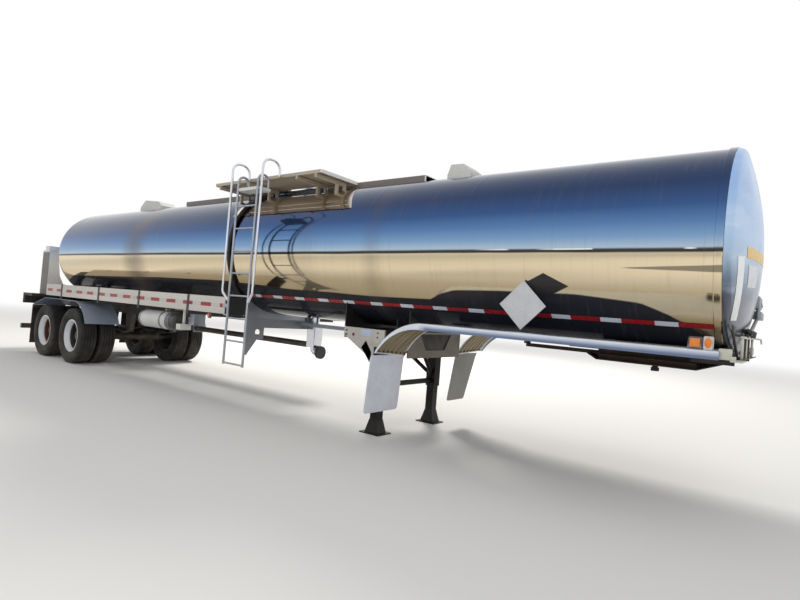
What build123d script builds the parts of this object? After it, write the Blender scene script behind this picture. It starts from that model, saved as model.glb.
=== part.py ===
from build123d import *
import os
from math import asin, cos, hypot, radians, sin, sqrt, tan

os.makedirs("parts", exist_ok=True)

# A single-compartment tanker semi-trailer on a tandem axle with twin wheels.
# X runs forward to the nose, Y to the left side, Z up from the ground, all in millimetres.
# Stations are counted forward from the rear axle. The origin lies ORIGIN_STATION ahead of it,
# on the ground below the middle of the trailer.
ORIGIN_STATION = 5180
REAR_END_STATION = -1330

# Tank shell and heads
TANK_R = 900
TANK_BELLY_Z = 1230
TANK_Z = TANK_BELLY_Z + TANK_R
CROWN_Z = TANK_Z + TANK_R
TANK_REAR_STATION = -400
TANK_FRONT_STATION = 11490
REAR_HEAD_RISE = 600
REAR_KNUCKLE_R = 450
FRONT_HEAD_RISE = 200
FRONT_KNUCKLE_R = 60
RIM_BAND_W = 60
RIM_BAND_T = 10

# Running gear
AXLE_SPREAD = 1245
TYRE_R = 505
TYRE_W = 285
TYRE_SHOULDER_IN = 12
TYRE_SHOULDER_DROP = 18
TYRE_TREAD_IN = 34
TWIN_PITCH = 330
HALF_WIDTH = 1219
RIM_FLANGE_R = 298
RIM_SEAT_R = 284
RIM_W = 236
RIM_WALL = 12
DISC_T = 20
DISC_FLAT_R = 205
HUB_R = 110
HUB_NOSE_R = 85
HUB_NOSE_LEN = 190
DRUM_R = 210
DRUM_WALL = 30
DRUM_W = 180
BEAD_GAP = 0.3
AXLE_R = 63.5
SPINDLE_R = 40
SPINDLE_GAP = 0.5

# Rear frame under the tank
RAIL_Y = 430
RAIL_W = 80
RAIL_H = 160
RAIL_TOP_Z = 1150
RAIL_FRONT_STATION = 2400
SADDLE_HALF_Y = 560
SADDLE_T = 12
TAIL_BEAM_T = 100
BUMPER_Z = (450, 550)

# Hose trays, their arms and straps
TRAY_OUT_Y = 1172
TRAY_W = 330
TRAY_H = 225
TRAY_WALL = 4
TRAY_REAR_STATION = -150
TRAY_FRONT_STATION = 5885
ARM_H = 55
ARM_W = 50
STRAP_T = 6
DOOR_T = 6
DOOR_GAP = 1
DOOR_RIB_H = 5
DOOR_RIB_T = 10
DOOR_RIB_COUNT = 7

# Top of the tank, with heights above its crown
WALK_HALF_Y = 220
WALK_RISE = 50
WALK_T = 8
DECK_RISE = 58
DECK_T = 42
DECK_OUT_Y = 885
DECK_REAR_STATION = 4990
DECK_FRONT_STATION = 7200
DECK_PLANKS = 5
DECK_PLANK_T = 30
DECK_PLANK_GAP = 8
DECK_EDGE_T = 8
MANWAY_STATION = 6250
MANWAY_R = 250
MANWAY_WALL = 12
MANWAY_RISE = 110
LID_R = 275
LID_T = 25
DAM_HALF_X = 350
DAM_HALF_Y = 290
DAM_RISE = 15
DAM_T = 5
DAM_GAP = 10

# Ladder
LADDER_STATION = 6190
LADDER_HALF_W = 203
LADDER_Y = 1195
STILE_R = 16
RUNG_R = 12
RUNG_PITCH = 292
RUNG_FIRST_Z = 580
RUNG_COUNT = 8
LADDER_FOOT_Z = 560
STEP_Z = 2870
STEP_T = 40
STEP_IN_Y = 1005
HOOP_RISE = 160
HOOP_IN = 165
HOOP_BEND_R = 80
HANDRAIL_REAR_OUTSET = 150
HANDRAIL_FRONT_OUTSET = 75
HANDRAIL_RISE = 142
HANDRAIL_FOOT_Z = 1440
HANDRAIL_IN = 270
HANDRAIL_BEND_R = 115
HOSE_STATION = 5500
HOSE_R = 26

# Nose and coupler
COUPLER_PLATE_Z = 1140
COUPLER_PLATE_T = 10
COUPLER_REAR_STATION = 10580
COUPLER_FRONT_STATION = 11340
COUPLER_REAR_LIP = (10500, 1184)  # station and height where the plate's rear bend ends
COUPLER_NOSE_LIP = (11640, 1250)  # and where its front bend ends
COUPLER_HALF_Y = 700
KINGPIN_STATION = 10910
KINGPIN_NECK_R = 25.4
KINGPIN_COLLAR_R = 35.7
KINGPIN_DROP = 84
KINGPIN_HOLE_GAP = 1
KINGPIN_FLANGE_R = 90
KINGPIN_FLANGE_T = 15
FENDER_OUT_Y = 1150
FENDER_IN_Y = 560
FENDER_Z = 1318
FENDER_T = 5
FENDER_NOSE_STATION = 11530
FENDER_BEND_STATION = 9044
FENDER_TAIL_STATION = 8440
FENDER_TAIL_Z = 924
FENDER_TAIL_OUT_Z = 971
FENDER_LIP_H = 75
FENDER_LIP_TAIL_H = 18
FENDER_LIP_T = 6

# Landing gear
LEG_STATION = 8110
LEG_Y = 565
LEG_OUTER = 130
LEG_INNER = 105
LEG_TOP_Z = 1180
LEG_OUTER_BOTTOM_Z = 480
FOOT_X = 280
FOOT_Y = 240
FOOT_T = 12
FOOT_CONE_INSET = 42
FOOT_CONE_H = 150


def st(station):
    """X of a station."""
    return station - ORIGIN_STATION


def box(x0, x1, y0, y1, z0, z1):
    """A block between two corners."""
    return Pos((x0 + x1) / 2, (y0 + y1) / 2, (z0 + z1) / 2) * Box(x1 - x0, y1 - y0, z1 - z0)


def rod(start, end, radius):
    """A round bar between two points."""
    way = Vector(*end) - Vector(*start)
    return extrude(Plane(origin=start, z_dir=way) * Circle(radius), way.length)


def bent_tube(points, bend_r, radius):
    """A round tube along straight runs joined by tangent arcs."""
    path = FilletPolyline(*points, radius=bend_r)
    return sweep(Plane(origin=path @ 0, z_dir=path % 0) * Circle(radius), path=path)


def side_plate(points, y0, y1):
    """An outline of x and z, as thick as from y0 to y1."""
    face = make_face(Polyline(*points, close=True))
    return extrude(Plane(origin=(0, y1, 0), x_dir=(1, 0, 0), z_dir=(0, -1, 0)) * face, y1 - y0)


def cross_plate(points, x0, x1):
    """An outline of y and z, as thick as from x0 to x1."""
    face = make_face(Polyline(*points, close=True))
    return extrude(Plane(origin=(x0, 0, 0), x_dir=(0, 1, 0), z_dir=(1, 0, 0)) * face, x1 - x0)


def round_x(x0, x1, y, z, radius):
    """A cylinder along X."""
    return extrude(Plane(origin=(x0, y, z), z_dir=(1, 0, 0)) * Circle(radius), x1 - x0)


def round_y(y0, y1, x, z, radius):
    """A cylinder along Y."""
    return extrude(Plane(origin=(x, y0, z), z_dir=(0, 1, 0)) * Circle(radius), y1 - y0)


def round_z(z0, z1, x, y, radius):
    """An upright cylinder."""
    return Pos(x, y, (z0 + z1) / 2) * Cylinder(radius, z1 - z0)


def mirrored(shape):
    """The same piece on the other side of the trailer."""
    return mirror(shape, about=Plane.XZ)


def tank_core(x0, x1):
    """The tank's cylinder over a stretch, to cut what seats on it."""
    return round_x(x0, x1, 0, TANK_Z, TANK_R)


def tank_bottom(y):
    """Height of the tank's lower face at a distance from its middle."""
    return TANK_Z - sqrt(TANK_R ** 2 - y ** 2)


parts = {}
REAR_X = st(REAR_END_STATION)
REAR_AXLE_X = st(0)
FRONT_AXLE_X = st(AXLE_SPREAD)
TANK_FRONT_X = st(TANK_FRONT_STATION)
TANK_REAR_X = st(TANK_REAR_STATION)


# Tank: a shell with a deep rear head and a shallow front head
def head_arcs(x0, sense, rise, knuckle_r):
    """Knuckle and crown arcs of a head, from the shell's edge at x0 to its middle."""
    crown_r = (rise ** 2 + (TANK_R - knuckle_r) ** 2 - knuckle_r ** 2) / (2 * (rise - knuckle_r))
    crown_c = rise - crown_r
    reach = hypot(crown_c, TANK_R - knuckle_r)
    ux, ur = -crown_c / reach, (TANK_R - knuckle_r) / reach

    def point(centre_x, centre_r, radius, angle):
        return (x0 + sense * (centre_x + radius * cos(angle)), centre_r + radius * sin(angle))

    tangent = asin(ur)
    quarter = radians(90)
    knuckle = ThreePointArc(
        point(0, TANK_R - knuckle_r, knuckle_r, quarter),
        point(0, TANK_R - knuckle_r, knuckle_r, (quarter + tangent) / 2),
        point(0, TANK_R - knuckle_r, knuckle_r, tangent),
    )
    crown = ThreePointArc(
        point(crown_c, 0, crown_r, tangent),
        point(crown_c, 0, crown_r, tangent / 2),
        point(crown_c, 0, crown_r, 0),
    )
    return [knuckle, crown]


def turned_on_tank(edges):
    """A closed outline of x and radius, turned about the tank's middle line."""
    face = Plane(origin=(0, 0, TANK_Z), x_dir=(1, 0, 0), z_dir=(0, -1, 0)) * make_face(edges)
    return revolve(face, axis=Axis((0, 0, TANK_Z), (1, 0, 0)))


def tank_jacket():
    rear = head_arcs(TANK_REAR_X, -1, REAR_HEAD_RISE, REAR_KNUCKLE_R)
    apex_x = TANK_REAR_X - REAR_HEAD_RISE
    band_r = TANK_R + RIM_BAND_T
    shell = Polyline(
        (apex_x, 0),
        (TANK_FRONT_X, 0),
        (TANK_FRONT_X, band_r),
        (TANK_FRONT_X - RIM_BAND_W, band_r),
        (TANK_FRONT_X - RIM_BAND_W, TANK_R),
        (TANK_REAR_X, TANK_R),
    )
    return turned_on_tank([shell] + rear)


def front_head():
    arcs = head_arcs(TANK_FRONT_X, 1, FRONT_HEAD_RISE, FRONT_KNUCKLE_R)
    shell = Polyline((TANK_FRONT_X + FRONT_HEAD_RISE, 0), (TANK_FRONT_X, 0), (TANK_FRONT_X, TANK_R))
    return turned_on_tank([shell] + arcs)


parts["tank_jacket"] = tank_jacket()
parts["front_head"] = front_head()


# Top of the tank: walkways, working deck, manway and spill dam
WALK_TOP_Z = CROWN_Z + WALK_RISE
DECK_TOP_Z = CROWN_Z + DECK_RISE
MANWAY_TOP_Z = CROWN_Z + MANWAY_RISE
DAM_REAR_STATION = MANWAY_STATION - DAM_HALF_X
DAM_FRONT_STATION = MANWAY_STATION + DAM_HALF_X
WALK_SECTIONS = [(3090, DAM_REAR_STATION - 50), (DAM_FRONT_STATION + 50, 8300)]  # rear and front stations


def top_walkway():
    """Two shallow channels along the crown, one either side of the manway."""
    spans = []
    for rear, front in WALK_SECTIONS:
        x0, x1 = st(rear), st(front)
        channel = box(x0, x1, -WALK_HALF_Y, WALK_HALF_Y, TANK_Z, WALK_TOP_Z)
        channel -= box(x0, x1, -WALK_HALF_Y + WALK_T, WALK_HALF_Y - WALK_T, TANK_Z, WALK_TOP_Z - WALK_T)
        spans.append(channel - tank_core(x0, x1))
    return Compound(spans)


DECK_BEAM_STATIONS = [5100, 5750, 6750, 7100]
DECK_BEAM_W = 30
DECK_BEAM_H = 50
DECK_BEAM_IN_Y = 340
DECK_POST_YS = [360, 500]
DECK_POST_HALF = 20


def deck_beam(station):
    """A crossbeam under the deck, on two posts that stand on the tank."""
    x0, x1 = st(station) - DECK_BEAM_W / 2, st(station) + DECK_BEAM_W / 2
    low = DECK_TOP_Z - DECK_T
    beam = box(x0, x1, -DECK_OUT_Y, -DECK_BEAM_IN_Y, low - DECK_BEAM_H, low)
    for y in DECK_POST_YS:
        beam += box(x0, x1, -y - DECK_POST_HALF, -y + DECK_POST_HALF, TANK_Z, low)
    return beam - tank_core(x0, x1)


def work_deck():
    """Planks held by an edge plate all round, beside the walkway on the right."""
    x0, x1 = st(DECK_REAR_STATION), st(DECK_FRONT_STATION)
    low = DECK_TOP_Z - DECK_T
    width = DECK_OUT_Y - WALK_HALF_Y
    deck = box(x0, x1, -DECK_OUT_Y, -WALK_HALF_Y, low, DECK_TOP_Z)
    deck -= box(x0 + DECK_EDGE_T, x1 - DECK_EDGE_T, -DECK_OUT_Y + DECK_EDGE_T, -WALK_HALF_Y - DECK_EDGE_T,
                low, DECK_TOP_Z - DECK_PLANK_T)
    for i in range(1, DECK_PLANKS):
        y = -DECK_OUT_Y + width * i / DECK_PLANKS
        deck -= box(x0 + DECK_EDGE_T, x1 - DECK_EDGE_T, y - DECK_PLANK_GAP / 2, y + DECK_PLANK_GAP / 2,
                    low, DECK_TOP_Z)
    deck -= box(st(DAM_REAR_STATION) - DAM_GAP, st(DAM_FRONT_STATION) + DAM_GAP,
                -DAM_HALF_Y - DAM_GAP, 0, low, DECK_TOP_Z)
    for station in DECK_BEAM_STATIONS:
        deck += deck_beam(station)
    return deck


def spill_dam():
    """A low wall round the manway that keeps spilt liquid in."""
    x0, x1 = st(DAM_REAR_STATION), st(DAM_FRONT_STATION)
    top = CROWN_Z + DAM_RISE
    dam = box(x0, x1, -DAM_HALF_Y, DAM_HALF_Y, TANK_Z, top)
    dam -= box(x0 + DAM_T, x1 - DAM_T, -DAM_HALF_Y + DAM_T, DAM_HALF_Y - DAM_T, TANK_Z, top)
    return dam - tank_core(x0, x1)


def manway_collar():
    x = st(MANWAY_STATION)
    ring = round_z(TANK_Z, MANWAY_TOP_Z, x, 0, MANWAY_R)
    ring -= round_z(TANK_Z, MANWAY_TOP_Z, x, 0, MANWAY_R - MANWAY_WALL)
    ring -= tank_core(x - MANWAY_R, x + MANWAY_R)
    return ring


LID_HINGE_X = st(MANWAY_STATION) - LID_R - 25
LID_HINGE_Z = MANWAY_TOP_Z + LID_T
LID_PIN_R = 10
LID_EYE_WALL = 8
LID_TONGUE_HALF = 40
LID_GAP = 0.5


def manway_lid():
    x = st(MANWAY_STATION)
    z0 = MANWAY_TOP_Z + LID_GAP
    eye = LID_TONGUE_HALF
    lid = round_z(z0, z0 + LID_T, x, 0, LID_R)
    lid += box(LID_HINGE_X, x - LID_R + 30, -eye, eye, z0, z0 + LID_T)
    lid += round_y(-eye, eye, LID_HINGE_X, LID_HINGE_Z, LID_PIN_R + LID_EYE_WALL)
    lid -= round_y(-eye, eye, LID_HINGE_X, LID_HINGE_Z, LID_PIN_R + SPINDLE_GAP)
    return lid


LUG_T = 15
LUG_GAP = 5


def lid_hinge():
    """Two lugs on the collar and the pin between them."""
    x = LID_HINGE_X
    inner = LID_TONGUE_HALF + LUG_GAP
    pin = round_y(-inner - LUG_T, inner + LUG_T, x, LID_HINGE_Z, LID_PIN_R)
    top = LID_HINGE_Z + LID_PIN_R + LID_EYE_WALL
    outline = [(x - 20, top), (x + 20, top), (x + 20, MANWAY_TOP_Z - 20),
               (st(MANWAY_STATION), MANWAY_TOP_Z - 20), (st(MANWAY_STATION), MANWAY_TOP_Z - 60),
               (x - 20, MANWAY_TOP_Z - 30)]
    for side in (-1, 1):
        y0, y1 = sorted((side * inner, side * (inner + LUG_T)))
        pin += side_plate(outline, y0, y1)
    pin -= round_z(TANK_Z, top, st(MANWAY_STATION), 0, MANWAY_R)
    return pin - tank_core(x - 100, x + 300)


parts["top_walkway"] = top_walkway()
parts["work_deck"] = work_deck()
parts["manway_collar"] = manway_collar() + lid_hinge()
parts["manway_lid"] = manway_lid()

# Raked hoods on the tank's crown, each a list of station and height above the crown
HOODS = [
    [(1294, 70), (1469, 203), (1973, 151), (2098, 65)],
    [(8558, 40), (8603, 160), (8768, 155), (8854, 87), (8872, 40)],
]
HOOD_HALF_Y = 150


def top_hoods():
    made = []
    for ridge in HOODS:
        outline = [(st(station), CROWN_Z + rise) for station, rise in ridge]
        rear, front = outline[0][0], outline[-1][0]
        hood = side_plate([(rear, TANK_Z)] + outline + [(front, TANK_Z)], -HOOD_HALF_Y, HOOD_HALF_Y)
        made.append(hood - tank_core(rear, front))
    return Compound(made)


parts["top_hoods"] = top_hoods()

# Ladder on the right side, with its handrails and step
TRAY_Z0 = RAIL_TOP_Z + ARM_H
TRAY_Z1 = TRAY_Z0 + TRAY_H
LADDER_REAR_X = st(LADDER_STATION) - LADDER_HALF_W
LADDER_FRONT_X = st(LADDER_STATION) + LADDER_HALF_W
TIE_T = 12
TIE_H = 50
TIE_OVERLAP = 35


def ladder():
    """Two stiles that hook over the step, the rungs, and a tie to the tray."""
    top = STEP_Z + HOOP_RISE
    whole = None
    for x in (LADDER_REAR_X, LADDER_FRONT_X):
        stile = bent_tube([(x, -LADDER_Y, LADDER_FOOT_Z), (x, -LADDER_Y, top),
                           (x, -LADDER_Y + HOOP_IN, top), (x, -LADDER_Y + HOOP_IN, STEP_Z)],
                          HOOP_BEND_R, STILE_R)
        whole = stile if whole is None else whole + stile
    for i in range(RUNG_COUNT):
        whole += round_x(LADDER_REAR_X, LADDER_FRONT_X, -LADDER_Y, RUNG_FIRST_Z + i * RUNG_PITCH, RUNG_R)
    z = (TRAY_Z0 + TRAY_Z1) / 2
    whole += box(st(TRAY_FRONT_STATION) - TIE_OVERLAP, LADDER_REAR_X, -TRAY_OUT_Y - TIE_T, -TRAY_OUT_Y,
                 z - TIE_H / 2, z + TIE_H / 2)
    return whole


HANDRAIL_FOOT_HALF = 60
HANDRAIL_FOOT_R = 60
HANDRAIL_LUG_T = 10


def handrail(foot_x, x):
    """A rail that leaves its stile at the foot and hooks over the deck's edge."""
    top = DECK_TOP_Z + HANDRAIL_RISE
    y = -LADDER_Y + HANDRAIL_IN
    low = DECK_TOP_Z - DECK_T
    rail = bent_tube([(foot_x, -LADDER_Y, HANDRAIL_FOOT_Z - HANDRAIL_FOOT_HALF),
                      (x, -LADDER_Y, HANDRAIL_FOOT_Z + HANDRAIL_FOOT_HALF),
                      (x, -LADDER_Y, top), (x, y, top), (x, y, low)],
                     [HANDRAIL_FOOT_R, HANDRAIL_BEND_R, HANDRAIL_BEND_R], STILE_R)
    rail -= round_z(LADDER_FOOT_Z, STEP_Z, foot_x, -LADDER_Y, STILE_R)
    rail = max(rail.solids(), key=lambda s: s.volume)
    return rail + box(x - STILE_R, x + STILE_R, y, -DECK_OUT_Y, low, low + HANDRAIL_LUG_T)


def handrails():
    rear = handrail(LADDER_REAR_X, LADDER_REAR_X - HANDRAIL_REAR_OUTSET)
    front = handrail(LADDER_FRONT_X, LADDER_FRONT_X + HANDRAIL_FRONT_OUTSET)
    return Compound([rear, front])


def ladder_step():
    """A tread between the stiles, under the ends of their hoops."""
    x0, x1 = LADDER_REAR_X - STILE_R, LADDER_FRONT_X + STILE_R
    tread = box(x0, x1, -LADDER_Y, -STEP_IN_Y, STEP_Z - STEP_T, STEP_Z)
    for x in (LADDER_REAR_X, LADDER_FRONT_X):
        tread -= round_z(STEP_Z - STEP_T, STEP_Z, x, -LADDER_Y, STILE_R)
    return tread


parts["ladder"] = ladder()
parts["handrails"] = handrails()
parts["ladder_step"] = ladder_step()

# Drain from the dam: a pipe under the deck, then a hose down the tank's side
HOSE_RING_R = TANK_R + HOSE_R + 0.5
DRAIN_DEG = 20.5
HOSE_TOP_DEG = 45
HOSE_LOW_DEG = 148
HOSE_RUN = 110
HOSE_BEND_R = 185
HOSE_END_Z = 1000
DRAIN_BEND_R = 70


def ring_point(angle_deg, along=0):
    """A point of the hose's ring, or along its tangent from there, as y and z."""
    a = radians(angle_deg)
    y = -HOSE_RING_R * sin(a) - along * cos(a)
    z = TANK_Z + HOSE_RING_R * cos(a) - along * sin(a)
    return y, z


def ring_tube(from_deg, to_deg):
    """A stretch of tube that lies round the tank."""
    y, z = ring_point(from_deg)
    a = radians(from_deg)
    start = Plane(origin=(st(HOSE_STATION), y, z), x_dir=(1, 0, 0), z_dir=(0, -cos(a), -sin(a)))
    return revolve(start * Circle(HOSE_R), axis=Axis((0, 0, TANK_Z), (1, 0, 0)), revolution_arc=to_deg - from_deg)


def drain_elbow():
    """From the dam's corner along the tank, then over to the hose."""
    x = st(HOSE_STATION)
    y0, z0 = ring_point(DRAIN_DEG, -DRAIN_BEND_R)
    y1, z1 = ring_point(DRAIN_DEG)
    elbow = bent_tube([(st(DAM_REAR_STATION), y0, z0), (x, y0, z0), (x, y1, z1)], DRAIN_BEND_R - 1, HOSE_R)
    return elbow + ring_tube(DRAIN_DEG, HOSE_TOP_DEG)


def drain_hose():
    x = st(HOSE_STATION)
    ya, za = ring_point(HOSE_LOW_DEG)
    yb, zb = ring_point(HOSE_LOW_DEG, HOSE_RUN)
    tail = bent_tube([(x, ya, za), (x, yb, zb), (x, yb, HOSE_END_Z)], HOSE_BEND_R, HOSE_R)
    return ring_tube(HOSE_TOP_DEG, HOSE_LOW_DEG) + tail


parts["spill_box"] = spill_dam() + drain_elbow()
parts["drain_hose"] = drain_hose()


# Hose trays along both sides, open inside, with a door at the front end
def hose_tray():
    """The right tray."""
    x0, x1 = st(TRAY_REAR_STATION), st(TRAY_FRONT_STATION)
    y0, y1 = -TRAY_OUT_Y, -TRAY_OUT_Y + TRAY_W
    tray = box(x0, x1, y0, y1, TRAY_Z0, TRAY_Z1)
    w = TRAY_WALL
    tray -= box(x0 + w, x1, y0 + w, y1 - w, TRAY_Z0 + w, TRAY_Z1 - w)
    return tray


DOOR_HINGE_R = 6
DOOR_HINGE_WALL = 2
DOOR_HINGE_DROP = 4
DOOR_INSET = 6
DOOR_EAR_INSET = 20
DOOR_EAR_T = 10
DOOR_HINGE_X = st(TRAY_FRONT_STATION) + DOOR_HINGE_R + DOOR_HINGE_DROP
DOOR_HINGE_Z = TRAY_Z0 - DOOR_HINGE_R - DOOR_HINGE_DROP


def tray_hinge():
    """A hinge pin below the tray's mouth, held by two ears on the tray's floor."""
    x, z = DOOR_HINGE_X, DOOR_HINGE_Z
    y0, y1 = -TRAY_OUT_Y + DOOR_EAR_INSET, -TRAY_OUT_Y + TRAY_W - DOOR_EAR_INSET
    pin = round_y(y0, y1, x, z, DOOR_HINGE_R - DOOR_HINGE_WALL)
    for y in (y0, y1 - DOOR_EAR_T):
        pin += side_plate([(x - 60, TRAY_Z0), (x - 12, TRAY_Z0), (x + 5, z + 5), (x + 5, z - 6),
                           (x - 60, z - 6)], y, y + DOOR_EAR_T)
    return pin


def tray_door():
    """A ribbed sheet over the tray's mouth, with its leaf round the hinge pin."""
    x0 = st(TRAY_FRONT_STATION) + DOOR_GAP
    x1 = x0 + DOOR_T
    y0, y1 = -TRAY_OUT_Y + DOOR_INSET, -TRAY_OUT_Y + TRAY_W - DOOR_INSET
    low = TRAY_Z0 + 2
    door = box(x0, x1, y0, y1, low, TRAY_Z1)
    pitch = (TRAY_Z1 - low) / DOOR_RIB_COUNT
    for i in range(DOOR_RIB_COUNT):
        z = low + pitch * (i + 0.5)
        door += box(x1, x1 + DOOR_RIB_H, y0, y1, z - DOOR_RIB_T / 2, z + DOOR_RIB_T / 2)
    x, z = DOOR_HINGE_X, DOOR_HINGE_Z
    ya = y0 - DOOR_INSET + 2 * DOOR_EAR_INSET
    yb = y1 + DOOR_INSET - 2 * DOOR_EAR_INSET
    leaf = box(x0, x1, ya, yb, z, low)
    leaf += round_y(ya, yb, x, z, DOOR_HINGE_R)
    leaf -= round_y(ya, yb, x, z, DOOR_HINGE_R - DOOR_HINGE_WALL + SPINDLE_GAP)
    return door + leaf


parts["hose_tray_right"] = hose_tray() + tray_hinge()
parts["hose_tray_left"] = mirrored(parts["hose_tray_right"])
parts["tray_door_right"] = tray_door()
parts["tray_door_left"] = mirrored(tray_door())


# Saddles that carry the tank, and the arms and straps that carry the trays
FRAME_SADDLES = [-250, 600, 1400, 2170]
BELLY_SADDLES = [3590, 5000]
LAMP_ARM_STATION = 5575
STRAPPED_ARMS = [600, 2170, 3590, 5000]


def saddle(station, z0, half_y):
    """A plate between a height and the tank's underside."""
    x0 = st(station) - SADDLE_T / 2
    plate = box(x0, x0 + SADDLE_T, -half_y, half_y, z0, tank_bottom(half_y))
    return plate - tank_core(x0, x0 + SADDLE_T)


def tray_arm(station, strapped):
    x0, x1 = st(station) - ARM_W / 2, st(station) + ARM_W / 2
    out = -TRAY_OUT_Y - STRAP_T
    arm = box(x0, x1, out, -SADDLE_HALF_Y, RAIL_TOP_Z, TRAY_Z0)
    if strapped:
        arm += box(x0, x1, out, -TRAY_OUT_Y, TRAY_Z0, TRAY_Z1 + STRAP_T)
        arm += box(x0, x1, -TRAY_OUT_Y, -TRAY_OUT_Y + 40, TRAY_Z1, TRAY_Z1 + STRAP_T)
    return arm


def tray_arms():
    arms = [tray_arm(station, True) for station in STRAPPED_ARMS] + [tray_arm(LAMP_ARM_STATION, False)]
    return Compound(arms + [mirrored(arm) for arm in arms])


PIPE_R = 38
PIPE_Z = 850
PIPE_YS = [-115, -25]
PIPE_PLATE_EDGE = 60
SUPPORT_REAR_STATION = 7560


def belly_saddle(station):
    """A saddle with a plate below it that the discharge pipes pass through."""
    x0 = st(station) - SADDLE_T / 2
    plate = box(x0, x0 + SADDLE_T, min(PIPE_YS) - PIPE_PLATE_EDGE, max(PIPE_YS) + PIPE_PLATE_EDGE,
                PIPE_Z - PIPE_PLATE_EDGE, RAIL_TOP_Z)
    for y in PIPE_YS:
        plate -= round_x(x0, x0 + SADDLE_T, y, PIPE_Z, PIPE_R)
    return saddle(station, RAIL_TOP_Z, SADDLE_HALF_Y) + plate


# Outrigger from the tank's belly to the ladder's front stile, and a tie to the landing gear's support
OUTRIGGER_Z = (1068, 1183)
OUTRIGGER_PLATE_Z = (920, 1195)
OUTRIGGER_PLATE_IN_Y = 910
OUTRIGGER_TOE_Z = 717
OUTRIGGER_HEAD_Z = 1280
OUTRIGGER_HOLE_R = 40
OUTRIGGER_HOLE_Y = 1010
OUTRIGGER_HOLE_Z = 1010
OUTRIGGER_T = 12
OUTRIGGER_POSTS = [(-160, -100), (-70, 40)]
TIE_BAR_Y = 300
TIE_BAR_Z = (1115, 1165)


def outrigger():
    """A beam with a holed plate at its end that carries the stile's foot."""
    x0, x1 = LADDER_FRONT_X - OUTRIGGER_T / 2, LADDER_FRONT_X + OUTRIGGER_T / 2
    z0, z1 = OUTRIGGER_Z
    frame = box(x0, x1, -OUTRIGGER_PLATE_IN_Y, OUTRIGGER_POSTS[-1][1], z0, z1)
    for y0, y1 in OUTRIGGER_POSTS:
        frame += box(x0, x1, y0, y1, z1, TANK_Z)
    low, high = OUTRIGGER_PLATE_Z
    plate = cross_plate([(-LADDER_Y, OUTRIGGER_TOE_Z), (-LADDER_Y, OUTRIGGER_HEAD_Z),
                         (-LADDER_Y + STILE_R + 20, OUTRIGGER_HEAD_Z), (-OUTRIGGER_PLATE_IN_Y - 100, high),
                         (-OUTRIGGER_PLATE_IN_Y, high), (-OUTRIGGER_PLATE_IN_Y, low),
                         (-OUTRIGGER_HOLE_Y, low), (-LADDER_Y + STILE_R + 20, OUTRIGGER_TOE_Z)], x0, x1)
    plate -= round_x(x0, x1, -OUTRIGGER_HOLE_Y, OUTRIGGER_HOLE_Z, OUTRIGGER_HOLE_R)
    plate -= round_z(LADDER_FOOT_Z, HANDRAIL_FOOT_Z, LADDER_FRONT_X, -LADDER_Y, STILE_R)
    return frame + plate - tank_core(x0, x1)


def tie_bar():
    x0, x1 = LADDER_FRONT_X + OUTRIGGER_T / 2, st(SUPPORT_REAR_STATION)
    return box(x0, x1, -TIE_BAR_Y - OUTRIGGER_T / 2, -TIE_BAR_Y + OUTRIGGER_T / 2, *TIE_BAR_Z)


def belly_frame():
    saddles = [belly_saddle(station) for station in BELLY_SADDLES]
    saddles.append(saddle(LAMP_ARM_STATION, RAIL_TOP_Z, SADDLE_HALF_Y))
    return Compound(saddles + [outrigger() + tie_bar()])


parts["tray_arms"] = tray_arms()
parts["belly_frame"] = belly_frame()

# Rear frame: two rails, crossmembers and saddles, with a tail frame on top
CROSS_STATIONS = [-1100, -500, 300, 950, 2250]


def rear_frame():
    x0, x1 = REAR_X + TAIL_BEAM_T, st(RAIL_FRONT_STATION)
    z0 = RAIL_TOP_Z - RAIL_H
    frame = None
    for side in (-1, 1):
        y0 = side * RAIL_Y - RAIL_W / 2
        rail = box(x0, x1, y0, y0 + RAIL_W, z0, RAIL_TOP_Z)
        frame = rail if frame is None else frame + rail
    for station in CROSS_STATIONS:
        frame += box(st(station) - 30, st(station) + 30, -RAIL_Y, RAIL_Y, z0 + 30, RAIL_TOP_Z - 20)
    for station in FRAME_SADDLES:
        frame += saddle(station, RAIL_TOP_Z, SADDLE_HALF_Y)
    return frame


TAIL_HALF_Y = 1195
LAMP_T = 15
LAMP_R = 50
LAMP_YS = [760, 900, 1080]


def tail_beam():
    """The beam across the rear, the bumper bar below it and what joins them."""
    x0, x1 = REAR_X + LAMP_T, REAR_X + TAIL_BEAM_T
    tail = box(x0, x1, -TAIL_HALF_Y, TAIL_HALF_Y, RAIL_TOP_Z - RAIL_H, RAIL_TOP_Z)
    for side in (-1, 1):
        tail += box(x0, x1, side * RAIL_Y - RAIL_W / 2, side * RAIL_Y + RAIL_W / 2,
                    BUMPER_Z[0], RAIL_TOP_Z - RAIL_H)
    tail += box(x0, x1, -TAIL_HALF_Y, TAIL_HALF_Y, *BUMPER_Z)
    return tail


def rear_lamps():
    """Round lamps on the rear face of the tail beam."""
    z = RAIL_TOP_Z - RAIL_H / 2
    spots = [side * y for side in (-1, 1) for y in LAMP_YS]
    return Compound([round_x(REAR_X, REAR_X + LAMP_T, y, z, LAMP_R) for y in spots])


CABINET_OUT_Y = 900
CABINET_IN_Y = 730
CABINET_REAR_STATION = -1300
CABINET_FRONT_STATION = -960
CABINET_TOP_Z = 2150
CABINET_CAP_H = 90
CABINET_FLARE = [(170, 1400), (70, 1620)]  # how far the front plate reaches inward, height
CABINET_PLATE_T = 12
TAIL_DECK_FRONT_STATION = -830


def tail_deck():
    """The right pad on the rail's top that a corner cabinet stands on."""
    return box(REAR_X + LAMP_T, st(TAIL_DECK_FRONT_STATION), -TAIL_HALF_Y, -RAIL_Y + RAIL_W / 2,
               RAIL_TOP_Z, RAIL_TOP_Z + ARM_H)


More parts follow.
